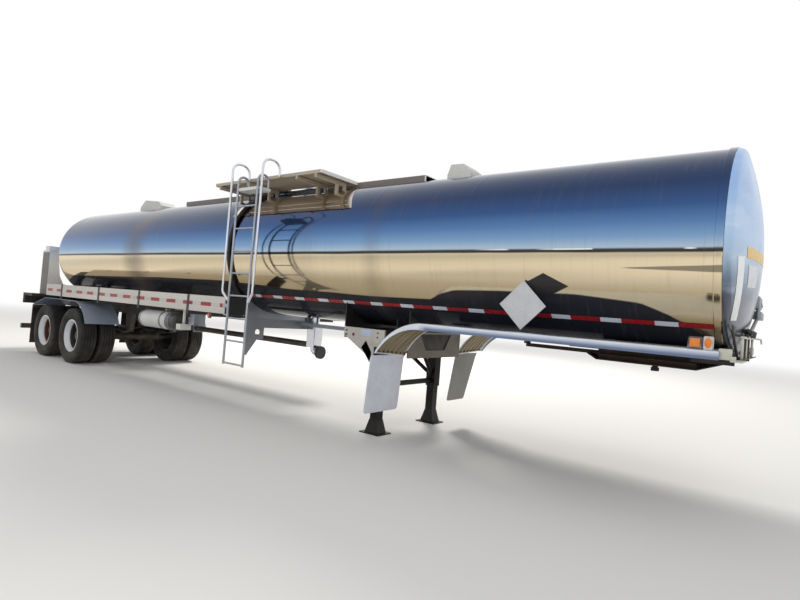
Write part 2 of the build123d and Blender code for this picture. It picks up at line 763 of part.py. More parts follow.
def corner_cabinet():
    """The right cabinet: a box with a flared front plate and a cap."""
    x0, x1 = st(CABINET_REAR_STATION), st(CABINET_FRONT_STATION)
    z0 = RAIL_TOP_Z + ARM_H
    y0, y1 = -CABINET_OUT_Y, -CABINET_IN_Y
    body = box(x0, x1 - CABINET_PLATE_T, y0, y1, z0, CABINET_TOP_Z)
    reach = CABINET_FLARE[0][0]
    flare = [(y0, z0), (y1 + reach, z0)] + [(y1 + out, z) for out, z in CABINET_FLARE]
    flare += [(y1, CABINET_TOP_Z), (y0, CABINET_TOP_Z)]
    body += cross_plate(flare, x1 - CABINET_PLATE_T, x1)
    body += box(x0 + 150, x1 + 10, y0 - 10, y1 + 10, CABINET_TOP_Z, CABINET_TOP_Z + CABINET_CAP_H)
    return body


parts["rear_frame"] = rear_frame()
parts["tail_frame"] = tail_beam() + tail_deck() + mirrored(tail_deck())
parts["rear_lamps"] = rear_lamps()
parts["corner_cabinets"] = Compound([corner_cabinet(), mirrored(corner_cabinet())])

# Springs, axles and brakes
HUB_Z = TYRE_R
TWIN_Y = HALF_WIDTH - TYRE_W / 2 - TWIN_PITCH / 2
HANGERS = [(-640, 120), (AXLE_SPREAD / 2, 160), (AXLE_SPREAD + 640, 120)]  # station, half length at top
SPRING_W = 76
SPRING_T = 45
SPRING_EYE_REACH = 600
SPRING_RISE = 60
SPRING_TIP_T = 14
SEAT_T = 12
AXLE_INNER_Y = 560


def hangers():
    made = []
    z0 = RAIL_TOP_Z - RAIL_H
    foot = HUB_Z + AXLE_R + SEAT_T + SPRING_RISE + SPRING_TIP_T
    for station, half in HANGERS:
        outline = [(st(station) - half, z0), (st(station) + half, z0),
                   (st(station) + half * 0.5, foot), (st(station) - half * 0.5, foot)]
        for side in (-1, 1):
            made.append(side_plate(outline, side * RAIL_Y - RAIL_W / 2, side * RAIL_Y + RAIL_W / 2))
    return Compound(made)


def spring(axle_x, y):
    """One leaf pack, thick at the axle and thin at its ends."""
    z = HUB_Z + AXLE_R + SEAT_T
    top = [(axle_x - SPRING_EYE_REACH, z + SPRING_RISE), (axle_x, z), (axle_x + SPRING_EYE_REACH, z + SPRING_RISE)]
    edges = [
        ThreePointArc(top[0], top[1], top[2]),
        Line(top[2], (top[2][0], top[2][1] + SPRING_TIP_T)),
        ThreePointArc((top[2][0], top[2][1] + SPRING_TIP_T), (axle_x, z + SPRING_T),
                      (top[0][0], top[0][1] + SPRING_TIP_T)),
        Line((top[0][0], top[0][1] + SPRING_TIP_T), top[0]),
    ]
    face = make_face(edges)
    return extrude(Plane(origin=(0, y + SPRING_W / 2, 0), x_dir=(1, 0, 0), z_dir=(0, -1, 0)) * face, SPRING_W)


def springs():
    made = []
    for axle_x in (REAR_AXLE_X, FRONT_AXLE_X):
        for side in (-1, 1):
            made.append(spring(axle_x, side * RAIL_Y))
    return Compound(made)


def spring_seat(axle_x, y):
    """A block on the axle beam that a spring lies on."""
    half = SPRING_W / 2 + 6
    return box(axle_x - 70, axle_x + 70, y - half, y + half, HUB_Z, HUB_Z + AXLE_R + SEAT_T)


BRAKE_R = 75
BRAKE_LEN = 150
BRAKE_Y = 260
BRAKE_BEHIND = 100


def brakes():
    """A brake chamber on a bracket behind each axle end."""
    made = []
    for axle_x in (REAR_AXLE_X, FRONT_AXLE_X):
        for side in (-1, 1):
            x1 = axle_x - BRAKE_BEHIND
            z = HUB_Z + 40
            y = side * BRAKE_Y
            chamber = round_x(x1 - BRAKE_LEN, x1, y, z, BRAKE_R)
            chamber += box(x1, axle_x, y - 8, y + 8, z - 50, z + 50)
            made.append(chamber - round_y(y - 10, y + 10, axle_x, HUB_Z, AXLE_R))
    return Compound(made)


def axle(axle_x):
    beam = round_y(-AXLE_INNER_Y, AXLE_INNER_Y, axle_x, HUB_Z, AXLE_R)
    tip = TWIN_Y + HUB_NOSE_LEN - 40
    beam += round_y(-tip, tip, axle_x, HUB_Z, SPINDLE_R)
    for side in (-1, 1):
        beam += spring_seat(axle_x, side * RAIL_Y)
    return beam


parts["hangers"] = hangers()
parts["springs"] = springs()
parts["brakes"] = brakes()
parts["axle_rear"] = axle(REAR_AXLE_X)
parts["axle_front"] = axle(FRONT_AXLE_X)


# Twin wheels: two tyres, and the rims, hub and drum as one
def turned_on_hub(axle_x, y, edges):
    """An outline of y and radius, turned about the axle."""
    face = Plane(origin=(axle_x, 0, HUB_Z), x_dir=(0, 1, 0), z_dir=(1, 0, 0)) * make_face(edges)
    return Pos(0, y, 0) * revolve(face, axis=Axis((axle_x, 0, HUB_Z), (0, 1, 0)))


def tyre(axle_x, y):
    bead = RIM_SEAT_R + BEAD_GAP
    half = TYRE_W / 2
    seat = RIM_W / 2 - 15
    right = [(seat, bead), (seat, RIM_FLANGE_R), (half - 4, RIM_FLANGE_R + 60), (half, RIM_FLANGE_R + 110),
             (half - TYRE_SHOULDER_IN, TYRE_R - TYRE_SHOULDER_DROP), (half - TYRE_TREAD_IN, TYRE_R)]
    left = [(-y, r) for y, r in reversed(right)]
    return turned_on_hub(axle_x, y, Polyline(*right, *left, close=True))


def twin_wheel(axle_x):
    """Rims, discs, hub and drum of the left twin wheel, about its middle plane."""
    half = RIM_W / 2
    inner_r = RIM_SEAT_R - RIM_WALL
    cone_y = TWIN_PITCH / 2 - half + 25
    flange = 10

    def ring(points):
        return turned_on_hub(axle_x, TWIN_Y, Polyline(*points, close=True))

    wheel = ring([(-DISC_T / 2, SPINDLE_R + SPINDLE_GAP), (DISC_T / 2, SPINDLE_R + SPINDLE_GAP),
                  (DISC_T / 2, DISC_FLAT_R), (-DISC_T / 2, DISC_FLAT_R)])
    for side in (-1, 1):
        mid = side * TWIN_PITCH / 2
        wheel += ring([(mid - half, inner_r), (mid + half, inner_r), (mid + half, RIM_FLANGE_R),
                       (mid + half - flange, RIM_FLANGE_R), (mid + half - flange, RIM_SEAT_R),
                       (mid - half + flange, RIM_SEAT_R), (mid - half + flange, RIM_FLANGE_R),
                       (mid - half, RIM_FLANGE_R)])
        wheel += ring([(0, DISC_FLAT_R - 12), (side * DISC_T / 2, DISC_FLAT_R - 12),
                       (side * (cone_y + DISC_T / 2), inner_r + 2), (side * cone_y, inner_r + 2),
                       (0, DISC_FLAT_R)])
    wheel += ring([(-90, SPINDLE_R + SPINDLE_GAP), (70, SPINDLE_R + SPINDLE_GAP), (70, HUB_R), (-90, HUB_R)])
    wheel += ring([(60, SPINDLE_R + SPINDLE_GAP), (HUB_NOSE_LEN - 20, SPINDLE_R + SPINDLE_GAP),
                   (HUB_NOSE_LEN - 20, 0), (HUB_NOSE_LEN, 0), (HUB_NOSE_LEN, HUB_NOSE_R - 20),
                   (HUB_NOSE_LEN - 30, HUB_NOSE_R), (60, HUB_NOSE_R)])
    wheel += ring([(-DRUM_W, DRUM_R - DRUM_WALL), (-DISC_T / 2, DRUM_R - DRUM_WALL),
                   (-DISC_T / 2, DRUM_R), (-DRUM_W, DRUM_R)])
    return wheel


WHEELS = [("rear", REAR_AXLE_X), ("front", FRONT_AXLE_X)]
for name, axle_x in WHEELS:
    left_tyres = Compound([tyre(axle_x, TWIN_Y - TWIN_PITCH / 2), tyre(axle_x, TWIN_Y + TWIN_PITCH / 2)])
    left_wheel = twin_wheel(axle_x)
    parts["tyres_" + name + "_left"] = left_tyres
    parts["tyres_" + name + "_right"] = mirrored(left_tyres)
    parts["wheel_" + name + "_left"] = left_wheel
    parts["wheel_" + name + "_right"] = mirrored(left_wheel)

# Fenders over the twin wheels, and the flaps behind them
ARCH_R = RAIL_TOP_Z - HUB_Z
ARCH_T = 5
ARCH_IN_Y = 612
ARCH_FRONT_DEG = 24
ARCH_REAR_DEG = 105
ARCH_TAIL_STATION = -690


def arch_point(axle_x, radius, angle_deg):
    a = radians(angle_deg)
    return axle_x + radius * cos(a), HUB_Z + radius * sin(a)


def arch_tail(radius):
    """Where the fender's straight tail ends, at a radius of its bend."""
    x, z = arch_point(REAR_AXLE_X, radius, ARCH_REAR_DEG)
    run = x - st(ARCH_TAIL_STATION)
    return st(ARCH_TAIL_STATION), z - run * tan(radians(ARCH_REAR_DEG - 90))


def wheel_fender():
    """The right fender: one sheet, bent about both axles, with a straight tail."""
    outer, inner = ARCH_R, ARCH_R - ARCH_T
    mid_front = (90 + ARCH_FRONT_DEG) / 2
    mid_rear = (90 + ARCH_REAR_DEG) / 2
    edges = []
    for radius in (outer, inner):
        front = ThreePointArc(arch_point(FRONT_AXLE_X, radius, ARCH_FRONT_DEG),
                              arch_point(FRONT_AXLE_X, radius, mid_front),
                              arch_point(FRONT_AXLE_X, radius, 90))
        rear = ThreePointArc(arch_point(REAR_AXLE_X, radius, 90),
                             arch_point(REAR_AXLE_X, radius, mid_rear),
                             arch_point(REAR_AXLE_X, radius, ARCH_REAR_DEG))
        edges += [front, Line(front @ 1, rear @ 0), rear, Line(rear @ 1, arch_tail(radius))]
    edges.append(Line(arch_point(FRONT_AXLE_X, outer, ARCH_FRONT_DEG),
                      arch_point(FRONT_AXLE_X, inner, ARCH_FRONT_DEG)))
    edges.append(Line(arch_tail(outer), arch_tail(inner)))
    plane = Plane(origin=(0, -ARCH_IN_Y, 0), x_dir=(1, 0, 0), z_dir=(0, -1, 0))
    return extrude(plane * make_face(edges), HALF_WIDTH - 10 - ARCH_IN_Y)


FLAP_STATION = -700
FLAP_T = 8
FLAP_Z = (190, 980)


def rear_flap():
    x0 = st(FLAP_STATION)
    return box(x0 - FLAP_T, x0, -HALF_WIDTH + 14, -ARCH_IN_Y, *FLAP_Z)


def flap_hanger():
    x0 = st(FLAP_STATION)
    return box(x0, x0 + 40, -HALF_WIDTH + 14, -RAIL_Y - RAIL_W / 2, FLAP_Z[1] - 60, FLAP_Z[1])


parts["wheel_fenders"] = Compound([wheel_fender(), mirrored(wheel_fender())])
parts["rear_flaps"] = Compound([rear_flap(), mirrored(rear_flap())])
parts["rear_frame"] += flap_hanger() + mirrored(flap_hanger())


# Landing gear and its support under the tank
SUPPORT_CROSS_Z = 1060
SUPPORT_TOP_Z = 1190
SUPPORT_NECK_Y = 400
SUPPORT_GUSSET = [(7560, 1180), (7590, 1080), (7910, 895), (7984, 804)]  # station, height of its lower edge
PANEL_STATION = 8470
PANEL_HALF_Y = 560
PANEL_Z = 900
PANEL_HOLE = [(-330, 1175), (330, 1175), (205, 987), (-205, 987)]  # across, height


def landing_support():
    """A box of plates under two saddles, and a panel ahead with a window in it."""
    x_leg0 = st(LEG_STATION) - LEG_OUTER / 2
    x_leg1 = st(LEG_STATION) + LEG_OUTER / 2
    half = LEG_Y + LEG_OUTER / 2
    rear, front = st(SUPPORT_REAR_STATION), x_leg1 + SADDLE_T
    frame = box(rear, front, -half, half, LEG_TOP_Z, SUPPORT_TOP_Z)
    for x0, reach in ((rear, half), (x_leg1, SUPPORT_NECK_Y)):
        frame += box(x0, x0 + SADDLE_T, -half, half, SUPPORT_CROSS_Z, LEG_TOP_Z)
        frame += box(x0, x0 + SADDLE_T, -reach, reach, SUPPORT_TOP_Z, tank_bottom(reach))
    low = SUPPORT_GUSSET[-1][1]
    outline = [(st(s), z) for s, z in SUPPORT_GUSSET] + [(x_leg0, low), (x_leg0, LEG_TOP_Z), (rear, LEG_TOP_Z)]
    for side in (-1, 1):
        y0, y1 = sorted((side * half, side * (half - SADDLE_T)))
        frame += side_plate(outline, y0, y1)
    panel_x = st(PANEL_STATION)
    panel = box(panel_x, panel_x + SADDLE_T, -PANEL_HALF_Y, PANEL_HALF_Y, PANEL_Z, tank_bottom(PANEL_HALF_Y))
    panel -= cross_plate(PANEL_HOLE, panel_x, panel_x + SADDLE_T)
    frame -= tank_core(rear, front)
    return Compound([frame, panel - tank_core(panel_x, panel_x + SADDLE_T)])


def landing_leg():
    """The right leg: outer tube, inner tube and a flared foot."""
    x, y = st(LEG_STATION), -LEG_Y
    a, b = LEG_OUTER / 2, LEG_INNER / 2
    leg = box(x - a, x + a, y - a, y + a, LEG_OUTER_BOTTOM_Z, LEG_TOP_Z)
    leg += box(x - b, x + b, y - b, y + b, FOOT_T + FOOT_CONE_H, LEG_OUTER_BOTTOM_Z)
    leg += box(x - FOOT_X / 2, x + FOOT_X / 2, y - FOOT_Y / 2, y + FOOT_Y / 2, 0, FOOT_T)
    low = Pos(x, y, FOOT_T) * Rectangle(FOOT_X - 2 * FOOT_CONE_INSET, FOOT_Y - 2 * FOOT_CONE_INSET)
    high = Pos(x, y, FOOT_T + FOOT_CONE_H) * Rectangle(LEG_INNER + 6, LEG_INNER + 6)
    return leg + loft([low, high])


BRACE_TUBE_R = 33
BRACE_BAR_R = 25
BRACE_Z = 552
BRACE_TOP_Y = 250
BRACE_TOP_Z = 1110
BRACE_MID_Y = 60
BRACE_MID_Z = 1085


def leg_braces(support, leg):
    """A crossbar between the legs, and from each leg a brace back and one up to the middle."""
    x = st(LEG_STATION)
    y = LEG_Y - LEG_OUTER / 2
    foot_z = BRACE_Z + BRACE_TUBE_R + BRACE_BAR_R
    inner_y = LEG_Y - LEG_INNER / 2
    bars = [round_y(-inner_y, inner_y, x, BRACE_Z, BRACE_TUBE_R) - leg - mirrored(leg)]
    for side in (-1, 1):
        ways = [
            ((x - LEG_OUTER / 2 + 20, side * (y + 20), foot_z + 40),
             (st(SUPPORT_REAR_STATION) + SADDLE_T / 2, side * BRACE_TOP_Y, BRACE_TOP_Z)),
            ((x + 10, side * (y + 20), foot_z),
             (x + LEG_OUTER / 2 + SADDLE_T / 2, side * BRACE_MID_Y, BRACE_MID_Z)),
        ]
        for start, end in ways:
            bar = rod(start, end, BRACE_BAR_R) - support
            bar -= leg if side < 0 else mirrored(leg)
            bars.append(max(bar.solids(), key=lambda s: s.volume))
    return Compound(bars)


parts["landing_support"] = landing_support()
parts["landing_legs"] = Compound([landing_leg(), mirrored(landing_leg())])
parts["leg_braces"] = leg_braces(parts["landing_support"], landing_leg())


# Nose: coupler plate, kingpin, sill and the fenders over the tractor's wheels
COUPLER_RAIL_Y = 360
COUPLER_RAIL_T = 10
COUPLER_SIDE_Y = 640
COUPLER_FLANGE_OUT_Y = 715
COUPLER_FLANGE_Z = (1186, 1194)
COUPLER_CROSS_STATIONS = [10620, 10760, 11030, 11200, 11325]


def upper_coupler():
    """The plate that the tractor carries, bent up at both ends, with rails and cross webs on it."""
    x0, x1 = st(COUPLER_REAR_STATION), st(COUPLER_FRONT_STATION)
    z0 = COUPLER_PLATE_Z
    z1 = z0 + COUPLER_PLATE_T
    rear_x, rear_z = st(COUPLER_REAR_LIP[0]), COUPLER_REAR_LIP[1]
    nose_x, nose_z = st(COUPLER_NOSE_LIP[0]), COUPLER_NOSE_LIP[1]
    under = [(rear_x, rear_z), (x0, z0), (x1, z0), (nose_x, nose_z)]
    over = [(x, z + COUPLER_PLATE_T) for x, z in reversed(under)]
    plate = side_plate(under + over, -COUPLER_HALF_Y, COUPLER_HALF_Y)
    plate -= round_z(z0, z1, st(KINGPIN_STATION), 0, KINGPIN_COLLAR_R + KINGPIN_HOLE_GAP)
    top = FENDER_Z - FENDER_T
    for side in (-1, 1):
        for inner in (COUPLER_RAIL_Y, COUPLER_SIDE_Y):
            y0, y1 = sorted((side * inner, side * (inner + COUPLER_RAIL_T)))
            plate += box(x0, x1, y0, y1, z1, top)
        y0, y1 = sorted((side * COUPLER_SIDE_Y, side * COUPLER_FLANGE_OUT_Y))
        plate += box(x0, x1, y0, y1, *COUPLER_FLANGE_Z)
    for station in COUPLER_CROSS_STATIONS:
        x = st(station)
        plate += box(x - COUPLER_RAIL_T / 2, x + COUPLER_RAIL_T / 2, -COUPLER_SIDE_Y, COUPLER_SIDE_Y, z1, top)
    return plate - tank_core(x0, x1)


KINGPIN_UPPER_H = 15
KINGPIN_NECK_H = 35


def kingpin():
    """A necked pin that hangs through the plate from a flange on its top."""
    x, z = st(KINGPIN_STATION), COUPLER_PLATE_Z
    flange_z = z + COUPLER_PLATE_T
    pin = round_z(z - KINGPIN_DROP, flange_z, x, 0, KINGPIN_NECK_R)
    pin += round_z(z - KINGPIN_UPPER_H, flange_z, x, 0, KINGPIN_COLLAR_R)
    pin += round_z(z - KINGPIN_DROP, z - KINGPIN_UPPER_H - KINGPIN_NECK_H, x, 0, KINGPIN_COLLAR_R)
    return pin + round_z(flange_z, flange_z + KINGPIN_FLANGE_T, x, 0, KINGPIN_FLANGE_R)


def fender_section(drop, tail_drop):
    """The fender's outline seen from the side, as deep as drop, and as tail_drop at its tail."""
    x_nose, x_bend, x_tail = st(FENDER_NOSE_STATION), st(FENDER_BEND_STATION), st(FENDER_TAIL_STATION)
    fall = FENDER_Z - FENDER_TAIL_Z
    run = x_bend - x_tail
    radius = (run ** 2 + fall ** 2) / (2 * fall)
    full = asin(run / radius)
    edges = []
    tip = []
    for depths in ((0, 0, 0), (drop, (drop + tail_drop) / 2, tail_drop)):
        pts = [(x_bend - (radius - d) * sin(a), FENDER_Z - radius + (radius - d) * cos(a))
               for a, d in zip((0, full / 2, full), depths)]
        edges += [Line((x_nose, FENDER_Z - depths[0]), pts[0]), ThreePointArc(*pts)]
        tip.append(pts[2])
    return edges + [Line(tip[0], tip[1]), Line((x_nose, FENDER_Z), (x_nose, FENDER_Z - drop))]


FENDER_SHELF_IN_Y = 450
FENDER_TRIM = 120


def front_fender():
    """The right fender: flat along the nose, bent down at its tail, with a lip along its edge."""
    sheet_plane = Plane(origin=(0, -FENDER_IN_Y, 0), x_dir=(1, 0, 0), z_dir=(0, -1, 0))
    sheet = extrude(sheet_plane * make_face(fender_section(FENDER_T, FENDER_T)), FENDER_OUT_Y - FENDER_IN_Y)
    lip_plane = Plane(origin=(0, -FENDER_OUT_Y + FENDER_LIP_T, 0), x_dir=(1, 0, 0), z_dir=(0, -1, 0))
    sheet += extrude(lip_plane * make_face(fender_section(FENDER_LIP_H, FENDER_LIP_TAIL_H)), FENDER_LIP_T)
    sheet += box(st(FENDER_BEND_STATION), st(FENDER_NOSE_STATION), -FENDER_IN_Y, -FENDER_SHELF_IN_Y,
                 FENDER_Z - FENDER_T, FENDER_Z)
    x = st(FENDER_TAIL_STATION)
    low = FENDER_TAIL_Z - FENDER_TRIM
    trim = [(-FENDER_OUT_Y, FENDER_TAIL_OUT_Z), (-FENDER_OUT_Y, low),
            (-FENDER_IN_Y, low), (-FENDER_IN_Y, FENDER_TAIL_Z)]
    return sheet - cross_plate(trim, x - FENDER_TRIM, x + FENDER_TRIM)


NOSE_SILL_Z = (1262, 1330)
NOSE_SILL_W = 80
NOSE_SILL_HALF_Y = 1120


def nose_sill():
    x0 = st(FENDER_NOSE_STATION)
    return box(x0, x0 + NOSE_SILL_W, -NOSE_SILL_HALF_Y, NOSE_SILL_HALF_Y, *NOSE_SILL_Z) - front_head()


FRONT_FLAP_Y = (575, 1145)
# Stations and heights of the flap's edges
FRONT_FLAP_SIDE = [(8473, 985), (8485, 985), (8453, 915), (8412, 327), (8402, 327), (8441, 920)]


def front_flap():
    """The right flap, fixed to the inner face of the fender's tail."""
    flap = side_plate([(st(station), z) for station, z in FRONT_FLAP_SIDE], -FRONT_FLAP_Y[1], -FRONT_FLAP_Y[0])
    flap -= front_fender()
    return max(flap.solids(), key=lambda s: s.volume)


LAMP_BOX = (11325, 11490)  # stations of the side lamp's box
LAMP_BOX_Y = (1065, 1125)
LAMP_BOX_H = 88


def front_lamp():
    """The right side lamp: a box that stands on the fender."""
    return box(st(LAMP_BOX[0]), st(LAMP_BOX[1]), -LAMP_BOX_Y[1], -LAMP_BOX_Y[0],
               FENDER_Z, FENDER_Z + LAMP_BOX_H)


NOSE_PANEL_HALF_Y = 260
NOSE_PANEL_H = 155
NOSE_PANEL_T = 12


def nose_panel():
    """The plate for air and power, on the front of the sill's middle."""
    x0 = st(FENDER_NOSE_STATION) + NOSE_SILL_W
    z0 = NOSE_SILL_Z[0]
    return box(x0, x0 + NOSE_PANEL_T, -NOSE_PANEL_HALF_Y, NOSE_PANEL_HALF_Y, z0, z0 + NOSE_PANEL_H)


PLACARD_STATION = 9937
PLACARD_Z = 1563
PLACARD_HALF = 225
PLACARD_Y = 850
PLACARD_T = 6
PLACARD_RIM = 16
PLACARD_RECESS = 2
PLACARD_POST_R = 10
PLACARD_POST_DX = 60


def placard_holder():
    """The right placard holder: a rimmed plate turned on its corner, on two posts."""
    x, z = st(PLACARD_STATION), PLACARD_Z

    def diamond(half, y0, y1):
        return side_plate([(x - half, z), (x, z - half), (x + half, z), (x, z + half)], y0, y1)

    out = -PLACARD_Y - PLACARD_T
    plate = diamond(PLACARD_HALF, out, -PLACARD_Y)
    plate -= diamond(PLACARD_HALF - PLACARD_RIM, out, out + PLACARD_RECESS)
    for dx in (-PLACARD_POST_DX, PLACARD_POST_DX):
        plate += round_y(-PLACARD_Y, 0, x + dx, z, PLACARD_POST_R)
    return plate - tank_core(x - PLACARD_HALF, x + PLACARD_HALF)


parts["front_lamps"] = Compound([front_lamp(), mirrored(front_lamp())])
parts["nose_panel"] = nose_panel()
parts["placard_holders"] = Compound([placard_holder(), mirrored(placard_holder())])
parts["upper_coupler"] = upper_coupler()
parts["kingpin"] = kingpin()
parts["front_fenders"] = Compound([front_fender(), mirrored(front_fender())])
parts["nose_sill"] = nose_sill()
parts["front_flaps"] = Compound([front_flap(), mirrored(front_flap())])


# Belly outlet, its pipes and the air tank
OUTLET_STATION = 6475
OUTLET_Y = -70
OUTLET_NECK_R = 55
OUTLET_HOUSING = (150, 180)  # along, across
OUTLET_HOUSING_Z = (820, 1140)
OUTLET_HOUSING_EDGE_R = 20
OUTLET_ELBOW_R = 50
OUTLET_ELBOW_BEND = 58
OUTLET_ELBOW_Z = 760
OUTLET_ELBOW_REACH = 115
CAP_R = 90
CAP_T = 45


def belly_outlet():
    """A neck from the tank into the valve's housing, and an elbow forward below it."""
    x, y = st(OUTLET_STATION), OUTLET_Y
    z0, z1 = OUTLET_HOUSING_Z
    along, across = OUTLET_HOUSING
    housing = box(x - along / 2, x + along / 2, y - across / 2, y + across / 2, z0, z1)
    housing = fillet(housing.edges().filter_by(Axis.Z), OUTLET_HOUSING_EDGE_R)
    neck = round_z(z1, TANK_Z, x, y, OUTLET_NECK_R)
    elbow = bent_tube([(x, y, z0), (x, y, OUTLET_ELBOW_Z), (x + OUTLET_ELBOW_REACH, y, OUTLET_ELBOW_Z)],
                      OUTLET_ELBOW_BEND, OUTLET_ELBOW_R)
    return housing + neck + elbow - tank_core(x - along, x + along)


def outlet_cap():
    x = st(OUTLET_STATION) + OUTLET_ELBOW_REACH
    return round_x(x, x + CAP_T, OUTLET_Y, OUTLET_ELBOW_Z, CAP_R)


PIPE_REAR_STATION = 2700


def discharge_pipes():
    x0, x1 = st(PIPE_REAR_STATION), st(OUTLET_STATION) - OUTLET_HOUSING[0] / 2
    return Compound([round_x(x0, x1, y, PIPE_Z, PIPE_R) for y in PIPE_YS])


AIR_TANK_R = 135
AIR_TANK_Y = 1000
AIR_TANK_Z = 1005
AIR_TANK_STATIONS = (3520, 4600)


def air_tank():
    x0, x1 = st(AIR_TANK_STATIONS[0]), st(AIR_TANK_STATIONS[1])
    tank = round_x(x0, x1, -AIR_TANK_Y, AIR_TANK_Z, AIR_TANK_R)
    return fillet(tank.edges().filter_by(GeomType.CIRCLE), 50)


AIR_STRAP_W = 40
AIR_STRAPS = [(3590, RAIL_TOP_Z), (4180, RAIL_TOP_Z + ARM_H)]  # station, height of what it hangs from


def air_tank_straps():
    made = []
    for station, top_z in AIR_STRAPS:
        x0, x1 = st(station) - AIR_STRAP_W / 2, st(station) + AIR_STRAP_W / 2
        band = round_x(x0, x1, -AIR_TANK_Y, AIR_TANK_Z, AIR_TANK_R + STRAP_T)
        band += box(x0, x1, -AIR_TANK_Y - 30, -AIR_TANK_Y + 30, AIR_TANK_Z, top_z)
        made.append(band - round_x(x0, x1, -AIR_TANK_Y, AIR_TANK_Z, AIR_TANK_R))
    return Compound(made)


parts["air_tank_straps"] = air_tank_straps()
parts["belly_outlet"] = belly_outlet()
parts["outlet_cap"] = outlet_cap()
parts["discharge_pipes"] = discharge_pipes()
parts["air_tank"] = air_tank()

for node, shape in parts.items():
    export_step(shape, "parts/" + node + ".step")
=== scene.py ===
# %% [markdown]
# # A parked tanker semi-trailer
# This notebook dresses a tanker trailer. The solids come in already in place, in metres: X runs
# forward to the nose, Y to the left side and Z up from the ground. A node whose shape is right
# keeps it and only gets a finish. Where the real thing has detail that the solid lacks, a new
# piece is modelled over it with bmesh operators.

# %% Load the trailer
import bpy
import bmesh
from math import asin, atan2, cos, hypot, pi, radians, sin
from mathutils import Matrix, Vector


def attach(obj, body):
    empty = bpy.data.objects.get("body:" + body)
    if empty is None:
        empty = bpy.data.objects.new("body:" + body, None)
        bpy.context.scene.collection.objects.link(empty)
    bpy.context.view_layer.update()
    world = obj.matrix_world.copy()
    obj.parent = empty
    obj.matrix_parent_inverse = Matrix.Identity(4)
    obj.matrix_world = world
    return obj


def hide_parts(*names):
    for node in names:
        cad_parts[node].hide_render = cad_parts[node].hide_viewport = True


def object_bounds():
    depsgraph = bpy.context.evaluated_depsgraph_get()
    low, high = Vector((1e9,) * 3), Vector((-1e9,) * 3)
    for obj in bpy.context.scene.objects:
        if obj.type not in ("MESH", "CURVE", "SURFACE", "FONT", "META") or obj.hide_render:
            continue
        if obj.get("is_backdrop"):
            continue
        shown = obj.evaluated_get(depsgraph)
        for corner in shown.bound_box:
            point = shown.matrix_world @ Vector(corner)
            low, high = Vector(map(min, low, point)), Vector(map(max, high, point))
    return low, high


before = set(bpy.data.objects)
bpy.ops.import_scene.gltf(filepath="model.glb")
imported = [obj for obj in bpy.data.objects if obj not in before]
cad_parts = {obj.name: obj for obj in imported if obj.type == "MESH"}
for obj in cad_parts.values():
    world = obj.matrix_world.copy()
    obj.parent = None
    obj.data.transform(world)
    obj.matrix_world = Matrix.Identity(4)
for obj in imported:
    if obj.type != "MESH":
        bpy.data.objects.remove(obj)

cad_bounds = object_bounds()
print("box:", [round(v, 3) for corner in cad_bounds for v in corner])

# %% [markdown]
# ## Small helpers
# A piece is made in a bmesh and then handed to Blender as a mesh whose object stays at the origin.
# Colours are written as the eye sees them (sRGB) and turned into the linear values that the
# renderer works with. Fine roundness comes from smooth shading, and edges above an angle stay
# sharp.

# %% Helpers for pieces
REAR_AXLE_X = -5.18      # stations are measured forward from here
SIDES = {"right": -1, "left": 1}
WELD = 1e-5      # vertices closer than this become one


def st(station):
    """X of a station."""
    return station + REAR_AXLE_X


def srgb(red, green, blue):
    """A colour as the eye sees it, made linear, with alpha."""
    return tuple((c / 12.92 if c <= 0.04045 else ((c + 0.055) / 1.055) ** 2.4)
                 for c in (red, green, blue)) + (1.0,)


def close_up(bm):
    """Makes every face point outwards."""
    bmesh.ops.recalc_face_normals(bm, faces=bm.faces)


def both_sides(bm):
    """Adds the mirror image across the trailer's middle plane."""
    copy = bmesh.ops.duplicate(bm, geom=bm.verts[:] + bm.edges[:] + bm.faces[:])["geom"]
    verts = [g for g in copy if isinstance(g, bmesh.types.BMVert)]
    faces = [g for g in copy if isinstance(g, bmesh.types.BMFace)]
    bmesh.ops.scale(bm, vec=(1, -1, 1), verts=verts)
    bmesh.ops.reverse_faces(bm, faces=faces)


def make_piece(name, bm, material, body="trailer", replaces=(), slot=None, smooth=40, mirrored=False):
    """Turns a bmesh into a piece that rides on a body. A finish's name gives the material; slot is not used.
    """
    if isinstance(material, str):
        material, slot = finish[material], slot or material
    if mirrored:
        both_sides(bm)
    close_up(bm)
    mesh = bpy.data.meshes.new(name)
    bm.to_mesh(mesh)
    bm.free()
    mesh.materials.append(material)
    mesh.polygons.foreach_set("use_smooth", [True] * len(mesh.polygons))
    mesh.set_sharp_from_angle(angle=radians(smooth))
    piece = bpy.data.objects.new(name, mesh)
    bpy.context.scene.collection.objects.link(piece)
    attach(piece, body)
    if replaces:
        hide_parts(*replaces)
    print("piece", name, len(mesh.polygons), "faces")
    return piece


def turn(bm, profile, centre, axis, steps=96):
    """Spins a line of (along, radius) pairs once round an axis and returns the new vertices."""
    centre, axis = Vector(centre), Vector(axis).normalized()
    out = axis.orthogonal().normalized()
    before = set(bm.verts)
    verts = [bm.verts.new(centre + axis * a + out * r) for a, r in profile]
    edges = [bm.edges.new(pair) for pair in zip(verts, verts[1:])]
    bmesh.ops.spin(bm, geom=verts + edges, cent=centre, axis=axis, angle=2 * pi, steps=steps, use_merge=True)
    made = [v for v in bm.verts if v not in before]
    bmesh.ops.remove_doubles(bm, verts=made, dist=WELD)
    return [v for v in bm.verts if v not in before]


def ease(bm, edges, width, segments=2):
    """Rounds edges off."""
    bmesh.ops.bevel(bm, geom=list(edges), offset=width, affect="EDGES", segments=segments, profile=0.5,
                    material=-1)


